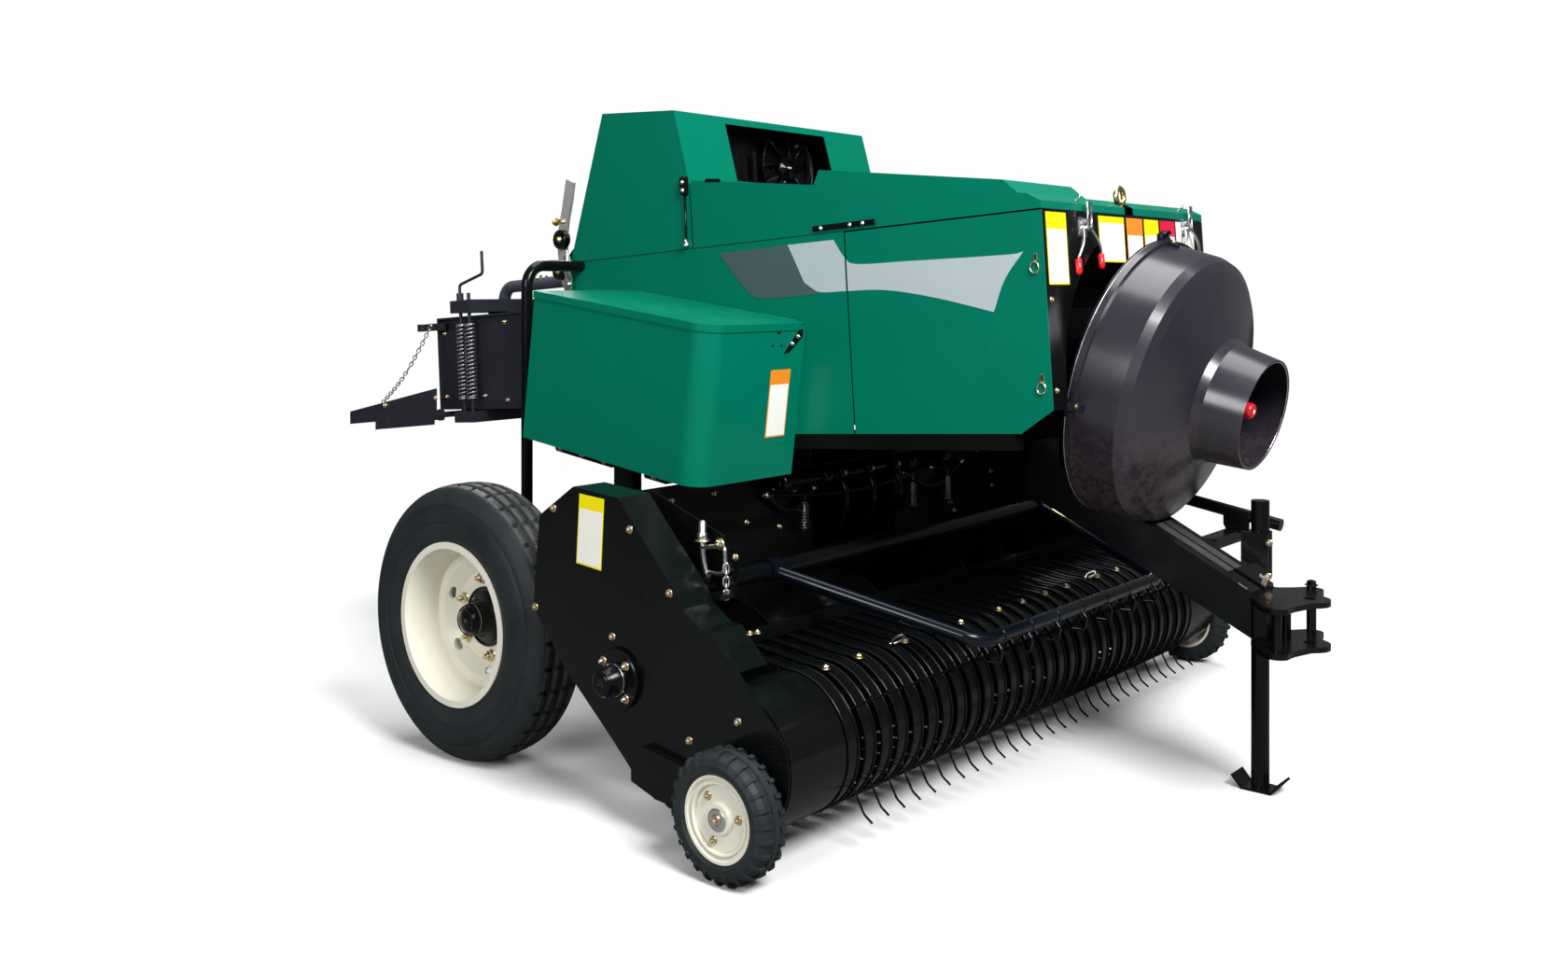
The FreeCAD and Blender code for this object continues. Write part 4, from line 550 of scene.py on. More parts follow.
    def done(self, body, *replaced, mirror=False):
        if mirror:
            self.mirrored()
        bmesh.ops.recalc_face_normals(self.mesh, faces=self.mesh.faces)
        mesh = bpy.data.meshes.new(self.name)
        self.mesh.to_mesh(mesh)
        self.mesh.free()
        for material in self.materials:
            mesh.materials.append(material)
        made = bpy.data.objects.new(self.name, mesh)
        bpy.context.scene.collection.objects.link(made)
        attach(made, body)
        if replaced:
            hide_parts(*replaced)
        return made


# ---- body panels: stripe, hinges, latches, blank plates ----
def stripe():
    """Two-tone sweep along each side, split at the door's seam."""
    dark = [(515, 1077), (799, 1080), (856, 962),
            *flowing((912, 925), (755, 922), (665, 928), (615, 963), (515, 1077))[:-1]]
    light = [(799, 1080), *flowing((974, 1080), (1012, 1025), (1056, 1002), (1242, 996), (1551, 988), (1609, 992)),
             *flowing((1609, 992), (1547, 921), (1508, 837))[1:],
             *flowing((1508, 837), (1319, 888), (1150, 920), (1005, 926), (907, 931), (856, 962))[1:]]
    for side, s in SIDES.items():
        for body, name, seam in (("chassis", "panel", 1011.5), ("door_" + side, "door", 1018.5)):
            piece = Piece(f"stripe_{name}_{side}", SILVER, [SLATE])
            for outline, kind, lift in ((light, 0, 0.0007), (dark, 1, 0.0009)):
                part = clipped(outline, seam, name == "panel")
                if len(part) > 2:
                    piece.plate(on_body.side(s * (PANEL_FACE + 0.1), part), Y * s * lift, kind=kind)
            piece.done(body)


def hood_trim():
    """Black hinge strip with its bolts and the slot in each hood side."""
    slot = ((470, 1312), (474, 1320), (534, 1313), (539, 1306), (534, 1303), (474, 1309))
    for side, s in SIDES.items():
        piece = Piece("hood_hinge_strip_" + side, BLACK, [STEEL, SOFT_BLACK])
        face, out = s * (PANEL_FACE + 0.2), Y * s
        piece.plate(on_body.side(face, oblong(900, 1133, 1110, 1127)), out * 0.004, 0.002)
        piece.bolts([on_body(u, s * (PANEL_FACE + 4), 1118) for u in (932, 1040, 1087)], out, 9, 5, 1)
        piece.plate(on_body.side(face, slot), out * 0.0015, kind=2)
        piece.done("hood_" + side)


def tower_hinges():
    """Hinge blocks at the hood's rear with the stay rod under each."""
    piece = Piece("tower_hinge_blocks", BLACK, [STEEL])
    block = ((369, 1280), (374, 1276), (392, 1276), (397, 1280), (397, 1333), (392, 1337), (374, 1337), (369, 1333))
    piece.plate(on_body.side(-PANEL_FACE - 0.3, block), Y * -0.014, 0.003)
    piece.bolts(on_body.side(-PANEL_FACE - 14, ((383, 1318), (383, 1292))), -Y, 10, 5, 1)
    piece.tube(on_body.side(-PANEL_FACE - 7, ((384, 1278), (382, 1180), (382, 1134))), 0.0035)
    foot = [(0, 0), (0, 0.005), (0.018, 0.011), (0.024, 0.011), (0.026, 0)]
    piece.lathe(foot, on_body(382, -PANEL_FACE - 9, 1134), -on_body.up, 24, 1)
    piece.done("chassis", mirror=True)


def door_latches():
    """Flat ring pulls with their slots near each door's front edge."""
    for side, s in SIDES.items():
        piece = Piece("door_latches_" + side, ZINC, [SOFT_BLACK])
        for u, w in ((1641, 947), (1640, 628)):
            pull = [(u + 13 * math.cos(t), w + 15 * math.sin(t)) for t in full_turn(24)]
            keeper, slot = oblong(u - 1, u + 9, w + 17, w + 38), oblong(u + 2, u + 6, w + 20, w + 35)
            piece.tube(on_body.side(s * (PANEL_FACE + 3), pull), 0.0022, 8, closed=True)
            piece.plate(on_body.side(s * (PANEL_FACE + 0.2), keeper), Y * s * 0.002, 0.001)
            piece.plate(on_body.side(s * (PANEL_FACE + 2.2), slot), Y * s * 0.0006, kind=1)
        piece.done("door_" + side)


def front_plates():
    """Blank plates across the front panel; none of them says anything."""
    piece = Piece("front_blank_plates", WHITE, [YELLOW, ORANGE, CRIMSON, SLATE])
    rows = ((-490, -381, 900, 1094, 1052, 1), (-194, -38, 964, 1094, 1078, 1), (-22, 81, 948, 1094, 1047, 2),
            (93, 189, 1000, 1094, 1050, 1), (201, 302, 1000, 1094, 1050, 3), (312, 438, 1000, 1094, 1094, 0))
    for y0, y1, w0, w1, head, colour in rows:
        edge, top = (4, head - 3) if head < w1 else (5, w1 - 5)
        for corners, kind, lift in ((oblong(y0, y1, w0, w1), colour, 0.0006),
                                    (oblong(y0 + edge, y1 - edge, w0 + edge, top), 0, 0.001)):
            piece.plate(on_body.cross(FRONT_FACE, corners), X * lift, kind=kind)
    piece.done("chassis")


def hood_catches():
    """Over-centre catches with bent wire bails and red tips, in place of the plain ones."""
    piece = Piece("over_centre_catches", STEEL, [BLACK, RED])
    fore = on_body.along
    base = ((-26, -28), (18, -28), (24, -6), (24, 22), (-16, 26), (-26, 16))
    tip = [(0, 0), (0, 0.0085), (0.034, 0.0095), (0.042, 0.006), (0.044, 0)]
    for y, w in ((-290, 1060), (370, 1078)):
        piece.plate(on_body.cross(FRONT_FACE + 0.1, [(y + a, w + b) for a, b in base]), fore * 0.004, 0.002)
        piece.bolts(on_body.cross(FRONT_FACE + 4.1, ((y - 14, w - 16), (y + 10, w + 14))), fore, 9, 5)
        bail = ((y - 2, w - 14), (y + 20, w - 12), (y + 24, w + 64), (y + 4, w + 66))
        piece.tube(on_body.cross(1688, bail), 0.0038, 8, closed=True)
        piece.tube(on_body.path((1678, y - 22, w - 4), (1690, y + 2, w - 8), (1690, y + 16, w - 8),
                                (1678, y + 26, w - 2)), 0.006)
        for a, tip_a, tip_b in ((-18, -70, -92), (22, 62, -76)):
            path = curve_points(on_body.path((1684, y + a, w - 6), (1696, y + (a + tip_a) / 2, w - 44),
                                             (1690, y + tip_a, w + tip_b)))
            piece.tube(path, 0.0042, 8)
            web = [p + Y * 0.004 * n for n, p in ((-1, path[2]), (1, path[2]), (1, path[-3]), (-1, path[-3]))]
            piece.plate(web, fore * 0.003)
            piece.lathe(tip, path[-1], -on_body.up, 16, 2)
    piece.done("chassis", "hood_latches")
    for side, y in (("right", -282), ("left", 382)):
        hook = Piece("catch_hook_" + side, STEEL)
        hook.plate(on_body.path((1646, y - 12, 1133.5), (1646, y + 14, 1133.5), (1658, y + 14, 1120),
                                (1658, y - 12, 1120)), (fore + on_body.up) * 0.003)
        hook.tube(on_body.side(y, ((1651, 1132), (1664, 1142), (1664, 1150))), 0.004, 8)
        hook.done("hood_" + side)


def seam_lines():
    """Dark joints between hood, tower, side panel and door frame, and the bolts of the front panel."""
    piece = Piece("body_joints", SOFT_BLACK, [ZINC])
    for line in (oblong(-190, 1012, 1101.6, 1103.6), oblong(402.4, 404.4, 1104, 1276)):
        piece.plate(on_body.side(-PANEL_FACE - 0.1, line), Y * -0.0006)
    piece.bolts(on_body.cross(FRONT_FACE, ((-485, 860), (-485, 620), (-330, 600))), on_body.along, 11, 5, 1)
    piece.done("chassis", mirror=True)


# ---- wheels ----
def main_tyres():
    """Four-rib tyre with ringed side walls and small cross cuts in the ribs."""
    bead, seat = 0.2303, 0.0897         # the rim's radius and half width
    rib_edges = (0.006, 0.032, 0.044)   # out from the middle of the tread
    for side in SIDES:
        low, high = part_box("wheel_tyre_" + side)
        centre = (low + high) / 2
        r, half = (high.z - low.z) / 2, (high.y - low.y) / 2
        wall = [(seat, bead), (seat, 0.2470), (seat + 0.004, 0.256), (seat + 0.008, 0.266), (half - 0.003, 0.285),
                (half - 0.0005, 0.300)]
        for k in range(9):
            at = 0.304 + 0.0062 * k
            swell = half - 0.0003 * max(0, k - 4) ** 2
            deep = swell - (0.0028 if k in (0, 7) else 0.0011)
            wall += [(deep, at), (deep, at + 0.0014), (swell, at + 0.0024), (swell, at + 0.0048)]
        wall += [(half - 0.012, 0.372), (half - 0.022, r - 0.021), (half - 0.030, r - 0.011),
                 (half - 0.037, r - 0.007)]
        tread = [(-0.044, r - 0.002), (-0.042, r - 0.013), (-0.034, r - 0.013), (-0.032, r - 0.001), (-0.020, r),
                 (-0.006, r - 0.0003), (-0.004, r - 0.013)]
        profile = [(-a, b) for a, b in wall] + tread + [(-a, b) for a, b in tread[::-1]] + wall[::-1] \
            + [(seat - 0.02, bead + 0.006), (0.02 - seat, bead + 0.006)]
        piece = Piece("main_tyre_" + side, RUBBER, [TREAD])
        rings = []
        for k, t in enumerate(full_turn(315)):
            cut = 0.011 if k % 9 == 0 else 0.0
            ring = []
            for a, b in profile:
                if b > r - 0.005 and any(abs(abs(a) - edge) < 0.001 for edge in rib_edges):
                    b -= cut
                ring.append(centre + Vector((b * math.cos(t), a, b * math.sin(t))))
            rings.append(ring)
        piece.skin(rings, closed=True)
        tread_from = (r - 0.0078) ** 2
        for face in piece.mesh.faces:
            spokes = [v.co - centre for v in face.verts]
            face.material_index = int(all(p.x ** 2 + p.z ** 2 > tread_from for p in spokes))
        piece.done("wheel_" + side, "wheel_tyre_" + side)


def hub_paint():
    """Black hub and cap over the cream disc."""
    profile = [(0.0005, 0.060), (0.0005, 0.0905), (0.0045, 0.0905), (0.0065, 0.0825), (0.0105, 0.0505),
               (0.058, 0.0476), (0.0635, 0.0430), (0.0785, 0.0358), (0.0820, 0.0250), (0.0848, 0.0120),
               (0.0853, 0), (0.02, 0)]
    for side, s in SIDES.items():
        piece = Piece("hub_cap_" + side, BLACK)
        piece.lathe(profile, pivot("wheel_spin_" + side) - Y * s * 0.045, Y * s, 64)
        piece.done("wheel_" + side)


def wheel_fittings():
    """Zinc wheel nuts, the cap's grooves and the hub's edge."""
    stud = [(0.016, 0.004), (0.016, 0.0085), (0.026, 0.0085), (0.028, 0.007), (0.028, 0)]
    edge = [(-0.041, 0.080), (-0.041, 0.0905), (-0.0375, 0.0905), (-0.0365, 0.088), (-0.0375, 0.080)]
    for side, s in SIDES.items():
        hub, out = pivot("wheel_spin_" + side), Y * s
        piece = Piece("wheel_nuts_" + side, ZINC, [STEEL, BLACK])
        for place in around(hub - out * 0.0455, Z, X, 0.118, degrees(*range(-10, 350, 60))):
            piece.bolt(place, out, 26, 18)
            piece.lathe(stud, place, out, 14)
        for a, r in ((-0.0095, 0.0365), (-0.017, 0.0440), (-0.030, 0.0478)):
            piece.ring(hub + out * 0.047, out, r - 0.002, r + 0.0012, a, a + 0.0015, 48, 2)
        piece.lathe(edge, hub, out, 48, 2)
        piece.done("wheel_" + side)


def gauge_fittings():
    """Raised ring, bolts and the middle nut of the gauge wheels."""
    boss = [(-0.002, 0.003), (-0.002, 0.0275), (0.001, 0.0275), (0.002, 0.026), (0.002, 0.003)]
    swage = [(-0.002, 0.087), (-0.0125, 0.089), (-0.013, 0.086), (-0.0055, 0.0845), (-0.005, 0.0815),
             (-0.013, 0.080), (-0.0125, 0.077), (-0.0035, 0.0815)]
    for side, s in SIDES.items():
        low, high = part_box("gauge_rim_" + side)
        out = Y * s
        face = (low + high) / 2 + out * (high.y - low.y) / 2
        piece = Piece("gauge_hub_" + side, ZINC, [STEEL, CREAM])
        piece.bolts(around(face - out * 0.0128, X, Z, 0.060, degrees(10, 130, 250)), out, 15, 9)
        piece.lathe(boss, face, out, 36, 1)
        piece.bolt(face + out * 0.002, out, 19, 9)
        piece.lathe(swage, face, out, 64, 2)
        piece.done("gauge_wheel_" + side)


# ---- pickup ----
def band_edges():
    """Rolled edges of every stripper band."""
    piece = Piece("band_rolled_edges", BLACK, [ZINC])
    bow = around(on_road(1155, 0, 255), X, Z, 0.1815, [math.radians(-95 + 190 * n / 22) for n in range(23)])
    path = [on_road(946, 0, 74.5), *bow, on_road(922, 0, 456.5)]
    for k in range(29):
        middle = (-952 + BAND_STEP * (k - 0.5)) / 1000
        for edge in (-0.0205, 0.0205):
            piece.tube([p + Y * (middle + edge) for p in path], 0.0032, 8)
    piece.done("pickup")


def end_plate_fittings():
    """Bolts, blank plate and bearing flange on the pickup's ends."""
    piece = Piece("end_plate_bolts", ZINC, [WHITE, YELLOW, STEEL, BLACK])
    spots = ((494, 811), (794, 786), (939, 641), (418, 530), (729, 497), (1172, 361), (1009, 282))
    piece.bolts(on_road.side(-END_FACE, spots), -Y, 15, 8)
    piece.plate(on_road.side(-END_FACE, ((587, 673), (600, 861), (697, 855), (685, 664))), Y * -0.0007, kind=2)
    piece.plate(on_road.side(-END_FACE - 0.7, ((591, 677), (601, 822), (691, 817), (681, 669))), Y * -0.0004, kind=1)
    hub = on_road(752, -1250, 391)
    piece.bolts(around(hub - Y * 0.0002, X, Z, 0.060, degrees(45, 135, 225, 315)), -Y, 17, 9, acorn=True)
    piece.lathe([(0, 0), (0, 0.046), (0.004, 0.046), (0.006, 0.0425), (0.046, 0.034), (0.052, 0.031), (0.055, 0.024),
                 (0.056, 0)], hub, -Y, 48, 4)
    piece.lathe([(0.0055, 0.038), (0.0055, 0.0432), (0.0075, 0.043), (0.0075, 0.038)], hub, -Y, 48, 3)
    piece.lathe([(-0.0145, 0.0785), (-0.0145, 0.0805), (-0.002, 0.0808), (0.0006, 0.0785), (0.0006, 0.0745),
                 (-0.0005, 0.074)], hub, -Y, 64, 4)
    piece.bolts(on_road.side(-1170, ((1088, 530), (1152, 558), (1177, 565))), Z, 13, 7)
    piece.done("pickup", mirror=True)


def crossbar_fittings():
    """Row of bolts across the tops of the bands, and two spring clips."""
    piece = Piece("crossbar_bolts", ZINC, [BRASS, STEEL])
    for k in range(11):
        piece.bolt(on_road(1207, -936.5 + BAND_STEP * round(2.3 * k), 433.5), Z, 17, 10, k % 2)
    for y in (-640, 480):
        clip = on_road.path((1196, y, 436), (1188, y + 34, 446), (1200, y + 58, 452), (1212, y + 40, 446),
                            (1203, y + 8, 438))
        piece.rod(clip, 0.0035, 8, kind=2)
    piece.done("pickup")


def float_rods():
    """Rod, shackle and chain which carry the pickup's end, beside the boxed edge."""
    piece = Piece("float_rods", STEEL, [ZINC, BLACK])
    rod = [(-0.022, 0), (-0.022, 0.014), (0, 0.014), (0.004, 0.010), (0.03, 0.010), (0.034, 0.006), (0.036, 0)]
    piece.lathe(rod, on_road(893, -1065, 764), Z, 20)
    piece.ring(on_road(893, -1065, 744), Z, 0.004, 0.021, 0, 0.003, 24, 1)
    piece.rod(on_road.side(-1065, ((893, 742), (896, 706), (907, 661), (917, 656))), 0.0075)
    piece.rod(on_road.side(-1069, ((897, 728), (966, 738), (978, 716), (973, 671), (919, 664))), 0.006)
    piece.bolt(on_road(966, -1075, 745), -Y, 22, 13, 1)
    ear = ((966, 622), (1010, 622), (1027, 706), (1011, 738), (986, 740))
    piece.plate(on_road.side(-1067, ear), Y * 0.005, 0.001, 2)
    piece.plate(on_road.side(-1122, oblong(966, 1008, 612, 624)), Y * 0.06, 0.001, 2)
    piece.bolt(on_road(1014, -1068, 716), -Y, 13, 8, 1)
    for k in range(5):
        piece.link(on_road(987, -1075, 684 - 17 * k), Z, k % 2, 0.011, 0.0028)
    piece.done("pickup", mirror=True)


def pickup_floor():
    """Dark sheet behind the reel, from the lower tube up to the auger's trough."""
    piece = Piece("pickup_back_sheet", FRAME_BLACK)
    outline = ((908, 98), (912, 98), (917, 148), (932, 300), (924, 440), (919, 440), (926, 300), (912, 148))
    piece.plate(on_road.side(-975, outline), Y * 1.95)
    piece.done("pickup")


def pickup_shade_sheets():
    """Dark sheets inside the end plates, behind the reel's shaft: painted shade, which keeps the gaps dark where the
    pickup's inside lies in shade.
    """
    piece = Piece("pickup_painted_shade_sheets", FRAME_BLACK)
    outline = ((944, 79), (1112, 77), (1112, 428), (928, 448), (932, 300))
    piece.plate(on_road.side(-1010.5, outline), Y * -0.003)
    piece.done("pickup", mirror=True)


def feeder_fittings():
    """Packer shaft with its fingers, hoses, springs and bolts over the feeder's front wall."""
    piece = Piece("feeder_linkage", BLACK, [ZINC, STEEL, SOFT_BLACK])
    piece.tube(on_road.cross(640, ((-470, 806), (470, 806))), 0.016, 20)
    bearing = [(-0.02, 0.016), (-0.02, 0.03), (-0.008, 0.036), (0.008, 0.036), (0.02, 0.03), (0.02, 0.016)]
    for y in (-440, -235, 235, 440):
        piece.lathe(bearing, on_road(640, y, 806), Y, 28)
        piece.plate(on_road.cross(FEEDER_FACE, oblong(y - 26, y + 26, 780, 832)), X * 0.03, 0.002)
        piece.bolts(on_road.cross(625, ((y - 17, 790), (y + 17, 790))), X, 13, 8, 1)
    for y in (-150, 0, 150):
        finger = on_road.side(y, ((640, 806), (668, 760), (672, 700), (650, 640), (630, 618)))
        piece.tube(curve_points(finger, 5), 0.009, 12)
        piece.ring(on_road(640, y, 806), Y, 0.016, 0.028, -0.018, 0.018, 24)
        piece.bolt(on_road(664, y, 812), X, 12, 7, 1)
    spots = ((579, 622), (604, 588), (858, 707), (871, 652), (-327, 763), (-304, 705), (-551, 693), (-396, 660),
             (-700, 800), (-880, 800), (560, 790), (760, 800))
    piece.bolts(on_road.cross(FEEDER_FACE, spots), X, 13, 7, 1)
    for y in (-300, 300, 520):
        bottom, top = on_road.path((618, y, 640), (618, y, 730))
        piece.tube(helix(bottom, top, X, Y, 0.013, 10, 12), 0.0022, 6, kind=2)
        for seat in (bottom - Z * 0.004, top):
            piece.ring(seat, Z, 0, 0.017, 0, 0.006, 20)
        piece.tube([bottom - Z * 0.02, top + Z * 0.03], 0.005, 8, kind=1)
    for y0, y1, drop in ((-480, -250, 60), (-470, 420, 34), (250, 620, 70)):
        hose = on_road.cross(612, [(y0 + (y1 - y0) * k / 5, 770 - drop * math.sin(math.pi * k / 5)) for k in range(6)])
        piece.tube(curve_points(hose, 5), 0.009, 10, kind=3)
        for end in (hose[0], hose[-1]):
            piece.ring(end, Y, 0, 0.012, -0.012, 0.012, 18, 2)
    piece.done("chassis")


def guard_fittings():
    """Collars on the windguard's tube, and the yellow rod lying on its left arm."""
    piece = Piece("windguard_collars", STEEL, [BLACK, BRASS])
    piece.tube(on_road.path((940, 721, 607), (1099, 664, 564)), 0.010, 12, kind=2)
    for k in range(7):
        piece.ring(on_road(1430, -450 + 150 * k, 462), Y, 0.019, 0.0208, -0.005, 0.005, 32, 1)
    piece.done("windguard")


# ---- drive line and tongue ----
def shield_trim():
    """Bright rim, dark joint and the four rubber straps of the driveline shield."""
    piece = Piece("shield_trim", STEEL, [NAVY_RUBBER, BRASS, BLACK])
    axis, centre = on_drive.along, on_drive.origin
    for start, end, r, rise, kind in ((-1, 1, 405, 0.9, 0), (9, 14, 391, 0.6, 3), (377, 380, 151.5, 0.6, 0)):
        piece.ring(centre, axis, (r - 3) / 1000, (r + rise) / 1000, start / 1000, end / 1000, 128, kind)
    strap = ((-12, 8), (-16, 30), (-4, 42), (10, 30), (24, 16), (48, 13), (48, 1), (6, 1))
    for out in around(Vector(), on_drive.up, Y, 1, degrees(-6, 102, 186, 262)):
        on_strap = Frame(centre + out * 0.391, axis, out.cross(axis))
        piece.plate(on_strap.side(11, strap), on_strap.across * -0.022, kind=1)
        piece.tube(on_strap.path((2, 24, 34), (14, 0, 40), (4, -26, 32)), 0.007, 8, kind=3)
        piece.bolt(on_strap(30, 4, 12.5), out, 11, 6, 2)
    piece.done("chassis")


def shaft_cap():
    """Red guard on the end of the input shaft."""
    piece = Piece("red_shaft_cap", RED, [WHITE])
    axis, start = on_drive.along, on_drive.origin
    tip = start + axis * ((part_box("input_rotor")[1].x - 0.0045 - start.x) / axis.x)
    piece.lathe([(-0.060, 0.0177), (-0.060, 0.0230), (-0.010, 0.0230), (-0.002, 0.0205), (0.001, 0.0150),
                 (0.001, 0.006), (-0.0005, 0.0), (-0.02, 0.0), (-0.02, 0.0177)], tip, axis, 40)
    piece.lathe([(0.0005, 0.0), (0.0005, 0.0065), (0.002, 0.006), (0.0025, 0.0)], tip, axis, 24, 1)
    piece.done("input_rotor")


def tongue_fittings():
    """Grey tread strips and bright edges on the drawbar, and two bolts in the jack's sleeve."""
    piece = Piece("tongue_strips", GREY_PAD, [STEEL, ZINC, BLACK])
    slope = math.radians(26.9)
    on_tongue = Frame(on_road(1684, 0, 748.6), (math.cos(slope), 0, -math.sin(slope)))
    for y in (-42, 8):
        piece.plate(on_tongue.flat(0, oblong(14, 250, y, y + 34)), on_tongue.up * 0.003, 0.001)
    for y in (-78, 74):
        piece.plate(on_tongue.flat(0, oblong(296, 324, y, y + 4)), on_tongue.up * 0.0025, kind=1)
    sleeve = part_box("jack_sleeve")[0].y * 1000
    piece.bolts(on_road.side(sleeve - 0.2, ((1973, 705), (1970, 612))), -Y, 14, 8, 2)
    piece.done("chassis")


def hitch_fittings():
    """Nuts of the hitch's spacer bolt."""
    piece = Piece("hitch_bolts", BLACK, [SOFT_BLACK])
    low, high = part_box("hitch_clevis")
    for z, out in ((high.z * 1000 + 0.2, Z), (low.z * 1000 - 0.2, -Z)):
        piece.bolt(on_road(2078, 112, z), out, 24, 12)
    piece.done("chassis")


# ---- rear ----
def spring_ends(u, s):
    """Lowest and highest place on one spring's axis."""
    points = [v.co - on_body.origin for v in nodes["density_springs"].data.vertices if v.co.y * s > 0]
    high = [p.dot(on_body.up) * 1000 for p in points if abs(p.dot(on_body.along) * 1000 - u) < 24]
    return on_body.path((u, s * 285, min(high)), (u, s * 285, max(high)))


def coil_springs():
    """Wound density springs between their seats."""
    piece = Piece("density_coils", COIL, [BLACK])
    for u in (-1115, -1060):
        for s in SIDES.values():
            bottom, top = spring_ends(u, s)
            along = (top - bottom).normalized()
            piece.tube(helix(bottom, top, Y, along.cross(Y), 0.0185, 19, 14), 0.0038, 8)
            piece.tube([bottom, top], 0.007, 12, kind=1)
            for end in (bottom, top - along * 0.005):
                piece.ring(end, along, 0, 0.0215, 0, 0.005, 28)
    piece.done("chassis", "density_springs")


def rear_bolts():
    """Bolts of the bale chamber's side and of the goose-neck."""
    bolts = Piece("rear_bolts", ZINC, [STEEL])
    large = ((-900, 620), (-600, 620), (-300, 620), (-900, 930), (-500, 930))
    small = ((-1290, 640), (-1290, 900), (-1040, 640), (-1180, 1000))
    bolts.bolts(on_body.side(-CHAMBER_FACE, large), -Y, 15, 8)
    bolts.bolts(on_body.side(-CHAMBER_FACE, small), -Y, 14, 8)
    bolts.done("chassis", mirror=True)
    neck = Piece("gooseneck_bolts", ZINC, [CHAMBER])
    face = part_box("gooseneck")[0].y * 1000 - 0.2
    neck.bolts(on_road.side(face, ((-1053, 1454), (-1018, 1452))), -Y, 14, 8)
    neck.done("chassis", mirror=True)


def chute_chains():
    """Chains from the bracket over the chamber's end to the chute's sides, with their ends."""
    made = []
    for side, s in SIDES.items():
        piece = Piece("chute_chain_" + side, STEEL)
        start, end = on_road.path((-1337, s * 313, 1256), (-1676, s * 313, 925))
        count, sag = 26, 0.03
        halfway = [(k + 0.5) / count for k in range(count)]
        links = [start.lerp(end, t) - Z * sag * math.sin(math.pi * t) for t in halfway]
        for k, place in enumerate(links):
            ahead = links[min(k + 1, count - 1)] - links[max(k - 1, 0)]
            piece.link(place, ahead, k % 2, 0.0092, 0.0024)
        made.append((piece.done("chassis"), start, end))
    return made


def chute_fittings():
    """Bolts of the chute's chain and hinge, and the dark holes along its lower flange."""
    piece = Piece("chute_bolts", ZINC, [SOFT_BLACK, BLUE_GREY])
    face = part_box("chute")[0].y * 1000 - 0.2
    piece.bolts(on_road.side(face, ((-1676, 912), (-1322, 962))), -Y, 15, 9)
    for place in on_road.side(face, ((-1560, 874), (-1438, 895), (-1660, 856), (-1800, 842))):
        piece.ring(place, -Y, 0, 0.0075, 0, 0.0006, 20, 1)
        piece.ring(place, -Y, 0.0075, 0.0095, 0, 0.0008, 20, 2)
    piece.done("chute", mirror=True)


# ---- knotter tower ----
def fan():
    """Seven broad twisted blades on a hub, in a thin shroud, with a dark sheet behind them."""
    hub, ahead = pivot("fan_spin"), on_body.along
    piece = Piece("cooling_fan", BLACK, [STEEL])
    piece.lathe([(-0.014, 0), (-0.014, 0.038), (0.012, 0.042), (0.02, 0.038), (0.022, 0.012), (0.03, 0.012),
                 (0.03, 0)], hub, ahead, 40)
    piece.bolt(hub + ahead * 0.03, ahead, 12, 6, 1)
    for t in full_turn(7):
        rows = []
        for n in range(7):
            width, twist = 0.30 + 0.02 * n, 0.0118 - 0.0006 * n
            spread = width * (1.25 if n < 6 else 1.0)
            turns = [t + 0.055 * n + spread * (m / 4 - 0.5) for m in range(5)]
            lift = [twist * (m - 2) / 2 + 0.003 * (1 - (m / 2 - 1) ** 2) for m in range(5)]
            edge = around(hub, Y, on_body.up, 0.035 + 0.0165 * n, turns)
            front = [p + ahead * a for p, a in zip(edge, lift)]
            rows.append(front + [p - ahead * 0.002 for p in front[::-1]])
        piece.skin(rows)
    piece.done("knotter_fan", "knotter_fan")
    shroud = Piece("fan_shroud", SOFT_BLACK, [CREAM, ZINC])
    shroud.lathe([(-0.0165, 0.137), (-0.0165, 0.141), (0.022, 0.141), (0.024, 0.143), (0.026, 0.142), (0.024, 0.137)],
                 hub, ahead, 64)
    shroud.plate(on_body.cross(231.8, oblong(-498, 498, 1338, 1532)), ahead * 0.0015)
    shroud.plate(on_body.cross(260, oblong(-40, -22, 1345, 1470)), ahead * 0.01)
    shroud.bolt(on_body(233, 252, 1515), ahead, 14, 8, 2)
    shroud.lathe([(-0.0165, 0.041), (-0.0144, 0.041), (-0.0144, 0.0095), (-0.0149, 0.0095), (-0.0149, 0.0395),
                  (-0.0165, 0.0395)], hub, ahead, 48)
    spokes = [around(hub + ahead * 0.024, Y, on_body.up, r, degrees(45, 135, 225, 315)) for r in (0.05, 0.139)]
    for inner, outer in zip(*spokes):
        shroud.tube([inner, outer], 0.0035, 8)
    shroud.done("chassis")


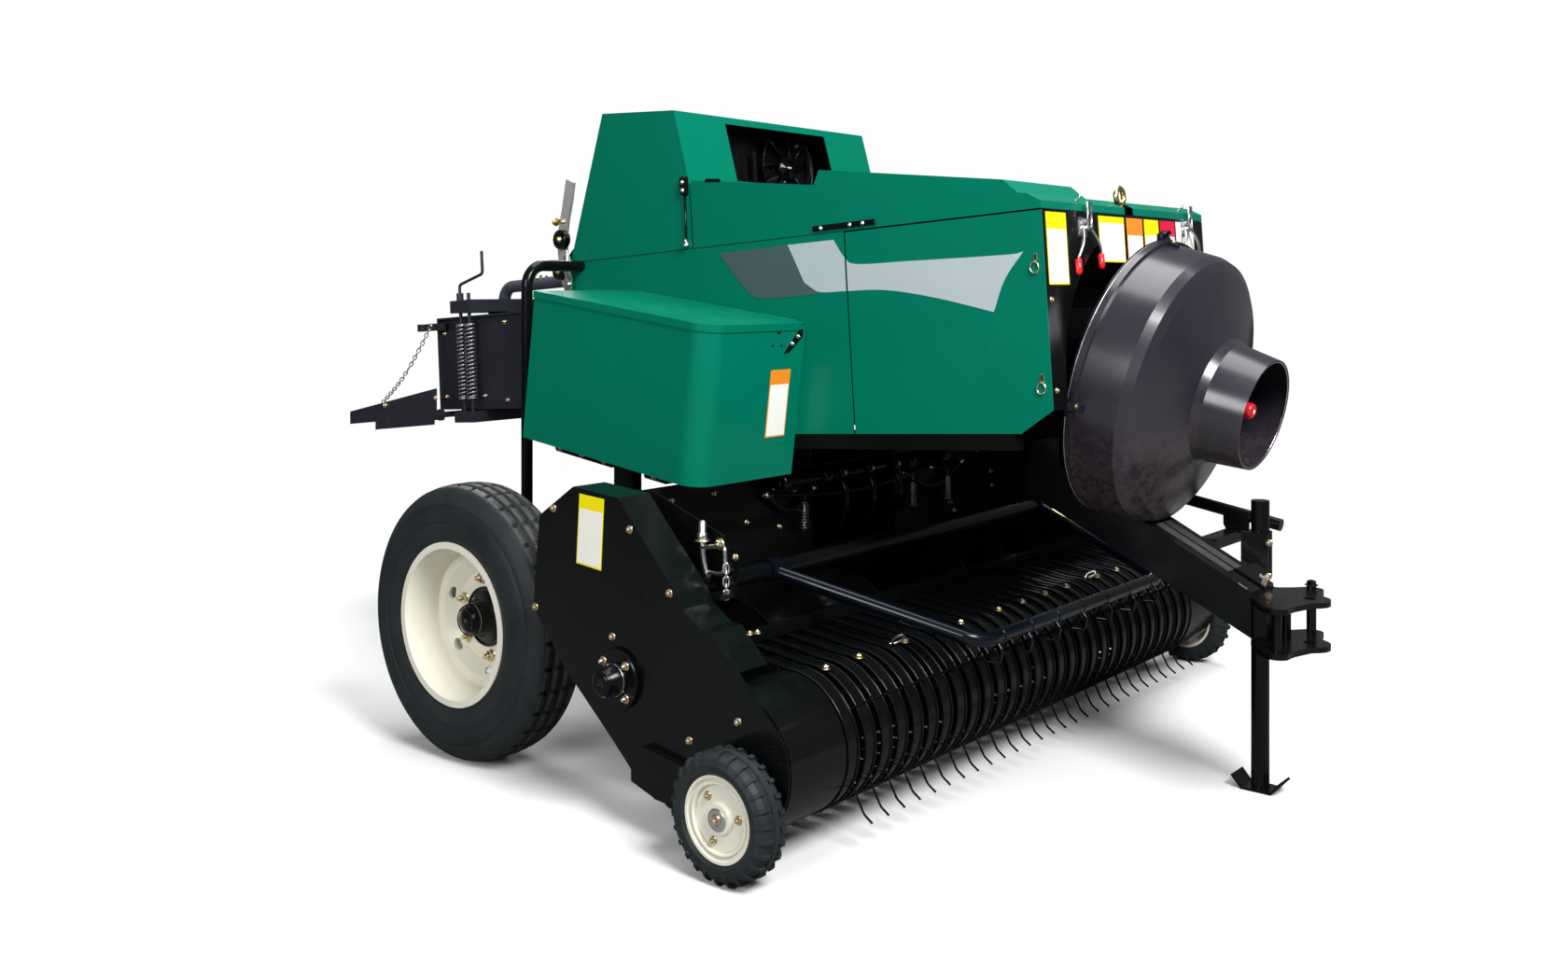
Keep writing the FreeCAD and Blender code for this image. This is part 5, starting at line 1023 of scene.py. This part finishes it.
def tower_fittings():
    """Knotter lever with its pulleys behind the tower, and the toggle at its corner."""
    lever = Piece("knotter_lever", PALE, [BLACK, BRASS])
    outline = [*flowing((-345, 1799), (-366, 1700), (-389, 1610), (-392, 1557), (-374, 1451), (-345, 1386)),
               *flowing((-322, 1386), (-338, 1480), (-346, 1557), (-338, 1640), (-318, 1720), (-306, 1784))]
    lever.plate(on_road.side(-446, outline), Y * -0.012, 0.002)
    spindle = [(-0.022, 0), (-0.022, 0.010), (0.034, 0.010), (0.036, 0)]
    lever.lathe(spindle, on_road(-372, -452, 1647), -X, 20, 2)
    lever.bolt(on_road(-404, -452, 1647), -X, 20, 12, 2)
    for x, z, r in ((-355, 1583, 0.034), (-362, 1470, 0.030)):
        groove = r - 0.006
        lever.lathe([(0, 0), (0, r), (0.004, r), (0.008, groove), (0.014, groove), (0.018, r), (0.022, r),
                     (0.022, 0)], on_road(x, -458, z), -Y, 36, 1)
        lever.bolt(on_road(x, -480, z), -Y, 15, 9, 2)
    lever.rod(on_road.side(-452, ((-338, 1500), (-300, 1540), (-262, 1560))), 0.012, 12, kind=1)
    lever.done("chassis")
    toggle = Piece("tower_latches", STEEL, [BLACK, ZINC])
    base = ((-262, 1392), (-228, 1392), (-226, 1450), (-246, 1470), (-264, 1450))
    toggle.plate(on_road.side(-531, base), Y * -0.005, 0.001)
    toggle.rod(on_road.path((-246, -540, 1540), (-238, -548, 1480), (-244, -546, 1400), (-262, -540, 1388)), 0.006, 8)
    loop = ((-258, 1520), (-230, 1520), (-228, 1462), (-256, 1462))
    toggle.tube(on_road.side(-541, loop), 0.003, 8, closed=True)
    toggle.bolt(on_road(-241, -536, 1425), -Y, 13, 7)
    toggle.done("chassis", mirror=True)


def twine_front(pairs, lift=0.0003):
    """Places just off the twine boxes' front faces, from pairs of across and height in mm."""
    reach = max((v.co - on_lid.origin).dot(on_lid.along) for v in nodes["twine_box_right"].data.vertices
                if v.co.z > 0.9)
    foremost = on_lid.origin + on_lid.along * reach
    lean = on_lid.up.x / on_lid.up.z
    return [Vector((foremost.x + (z / 1000 - foremost.z) * lean, y / 1000, z / 1000)) + on_lid.along * lift
            for y, z in pairs]


def twine_box_fittings():
    """Bracket bar, blank plate and air holes on the twine boxes' fronts, and the trays under them."""
    fore = on_lid.along
    piece = Piece("twine_box_plates", WHITE, [ORANGE, BLACK, ZINC, SOFT_BLACK])
    piece.plate(twine_front(oblong(-652, -563, 972, 1172)), fore * 0.0006, kind=1)
    piece.plate(twine_front(oblong(-648, -567, 976, 1128)), fore * 0.001)
    bracket = ((-601, 1222), (-582, 1222), (-525, 1268), (-525, 1290), (-540, 1290))
    piece.plate(twine_front(bracket), fore * 0.004, 0.001, 2)
    piece.bolts(twine_front(((-572, 1248), (-548, 1269)), 0.0043), fore, 10, 5, 3)
    large, *small = twine_front(((-633, 1286), (-656, 1245), (-616, 1244)))
    piece.ring(large, fore, 0.002, 0.009, 0, 0.0008, 20, 4)
    for hole in small:
        piece.ring(hole, fore, 0, 0.004, 0, 0.001, 12, 4)
    piece.done("chassis", mirror=True)
    tray = Piece("twine_box_trays", BLACK, [ZINC])
    for a0, a1 in ((70, 330), (470, 560)):
        tray.plate(on_lid.flat(-463.5, oblong(a0, a1, -560, -860)), on_lid.up * -0.034, 0.004)
    tray.bolts([on_lid(a, -862, -484) for a in (100, 200, 300, 515)], -Y, 12, 7, 1)
    tray.done("chassis", mirror=True)


stand_camera()
lay_floor()
light_studio()
dress_nodes()
for make in (stripe, hood_trim, tower_hinges, door_latches, front_plates, hood_catches, seam_lines, main_tyres,
             hub_paint, wheel_fittings, gauge_fittings, band_edges, end_plate_fittings, crossbar_fittings,
             float_rods, pickup_floor, pickup_shade_sheets, feeder_fittings, guard_fittings, shield_trim, shaft_cap,
             tongue_fittings, hitch_fittings, coil_springs, rear_bolts):
    make()
chains = chute_chains()
for make in (chute_fittings, fan, tower_fittings, twine_box_fittings):
    make()
for chain, start, end in chains:
    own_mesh(chain)
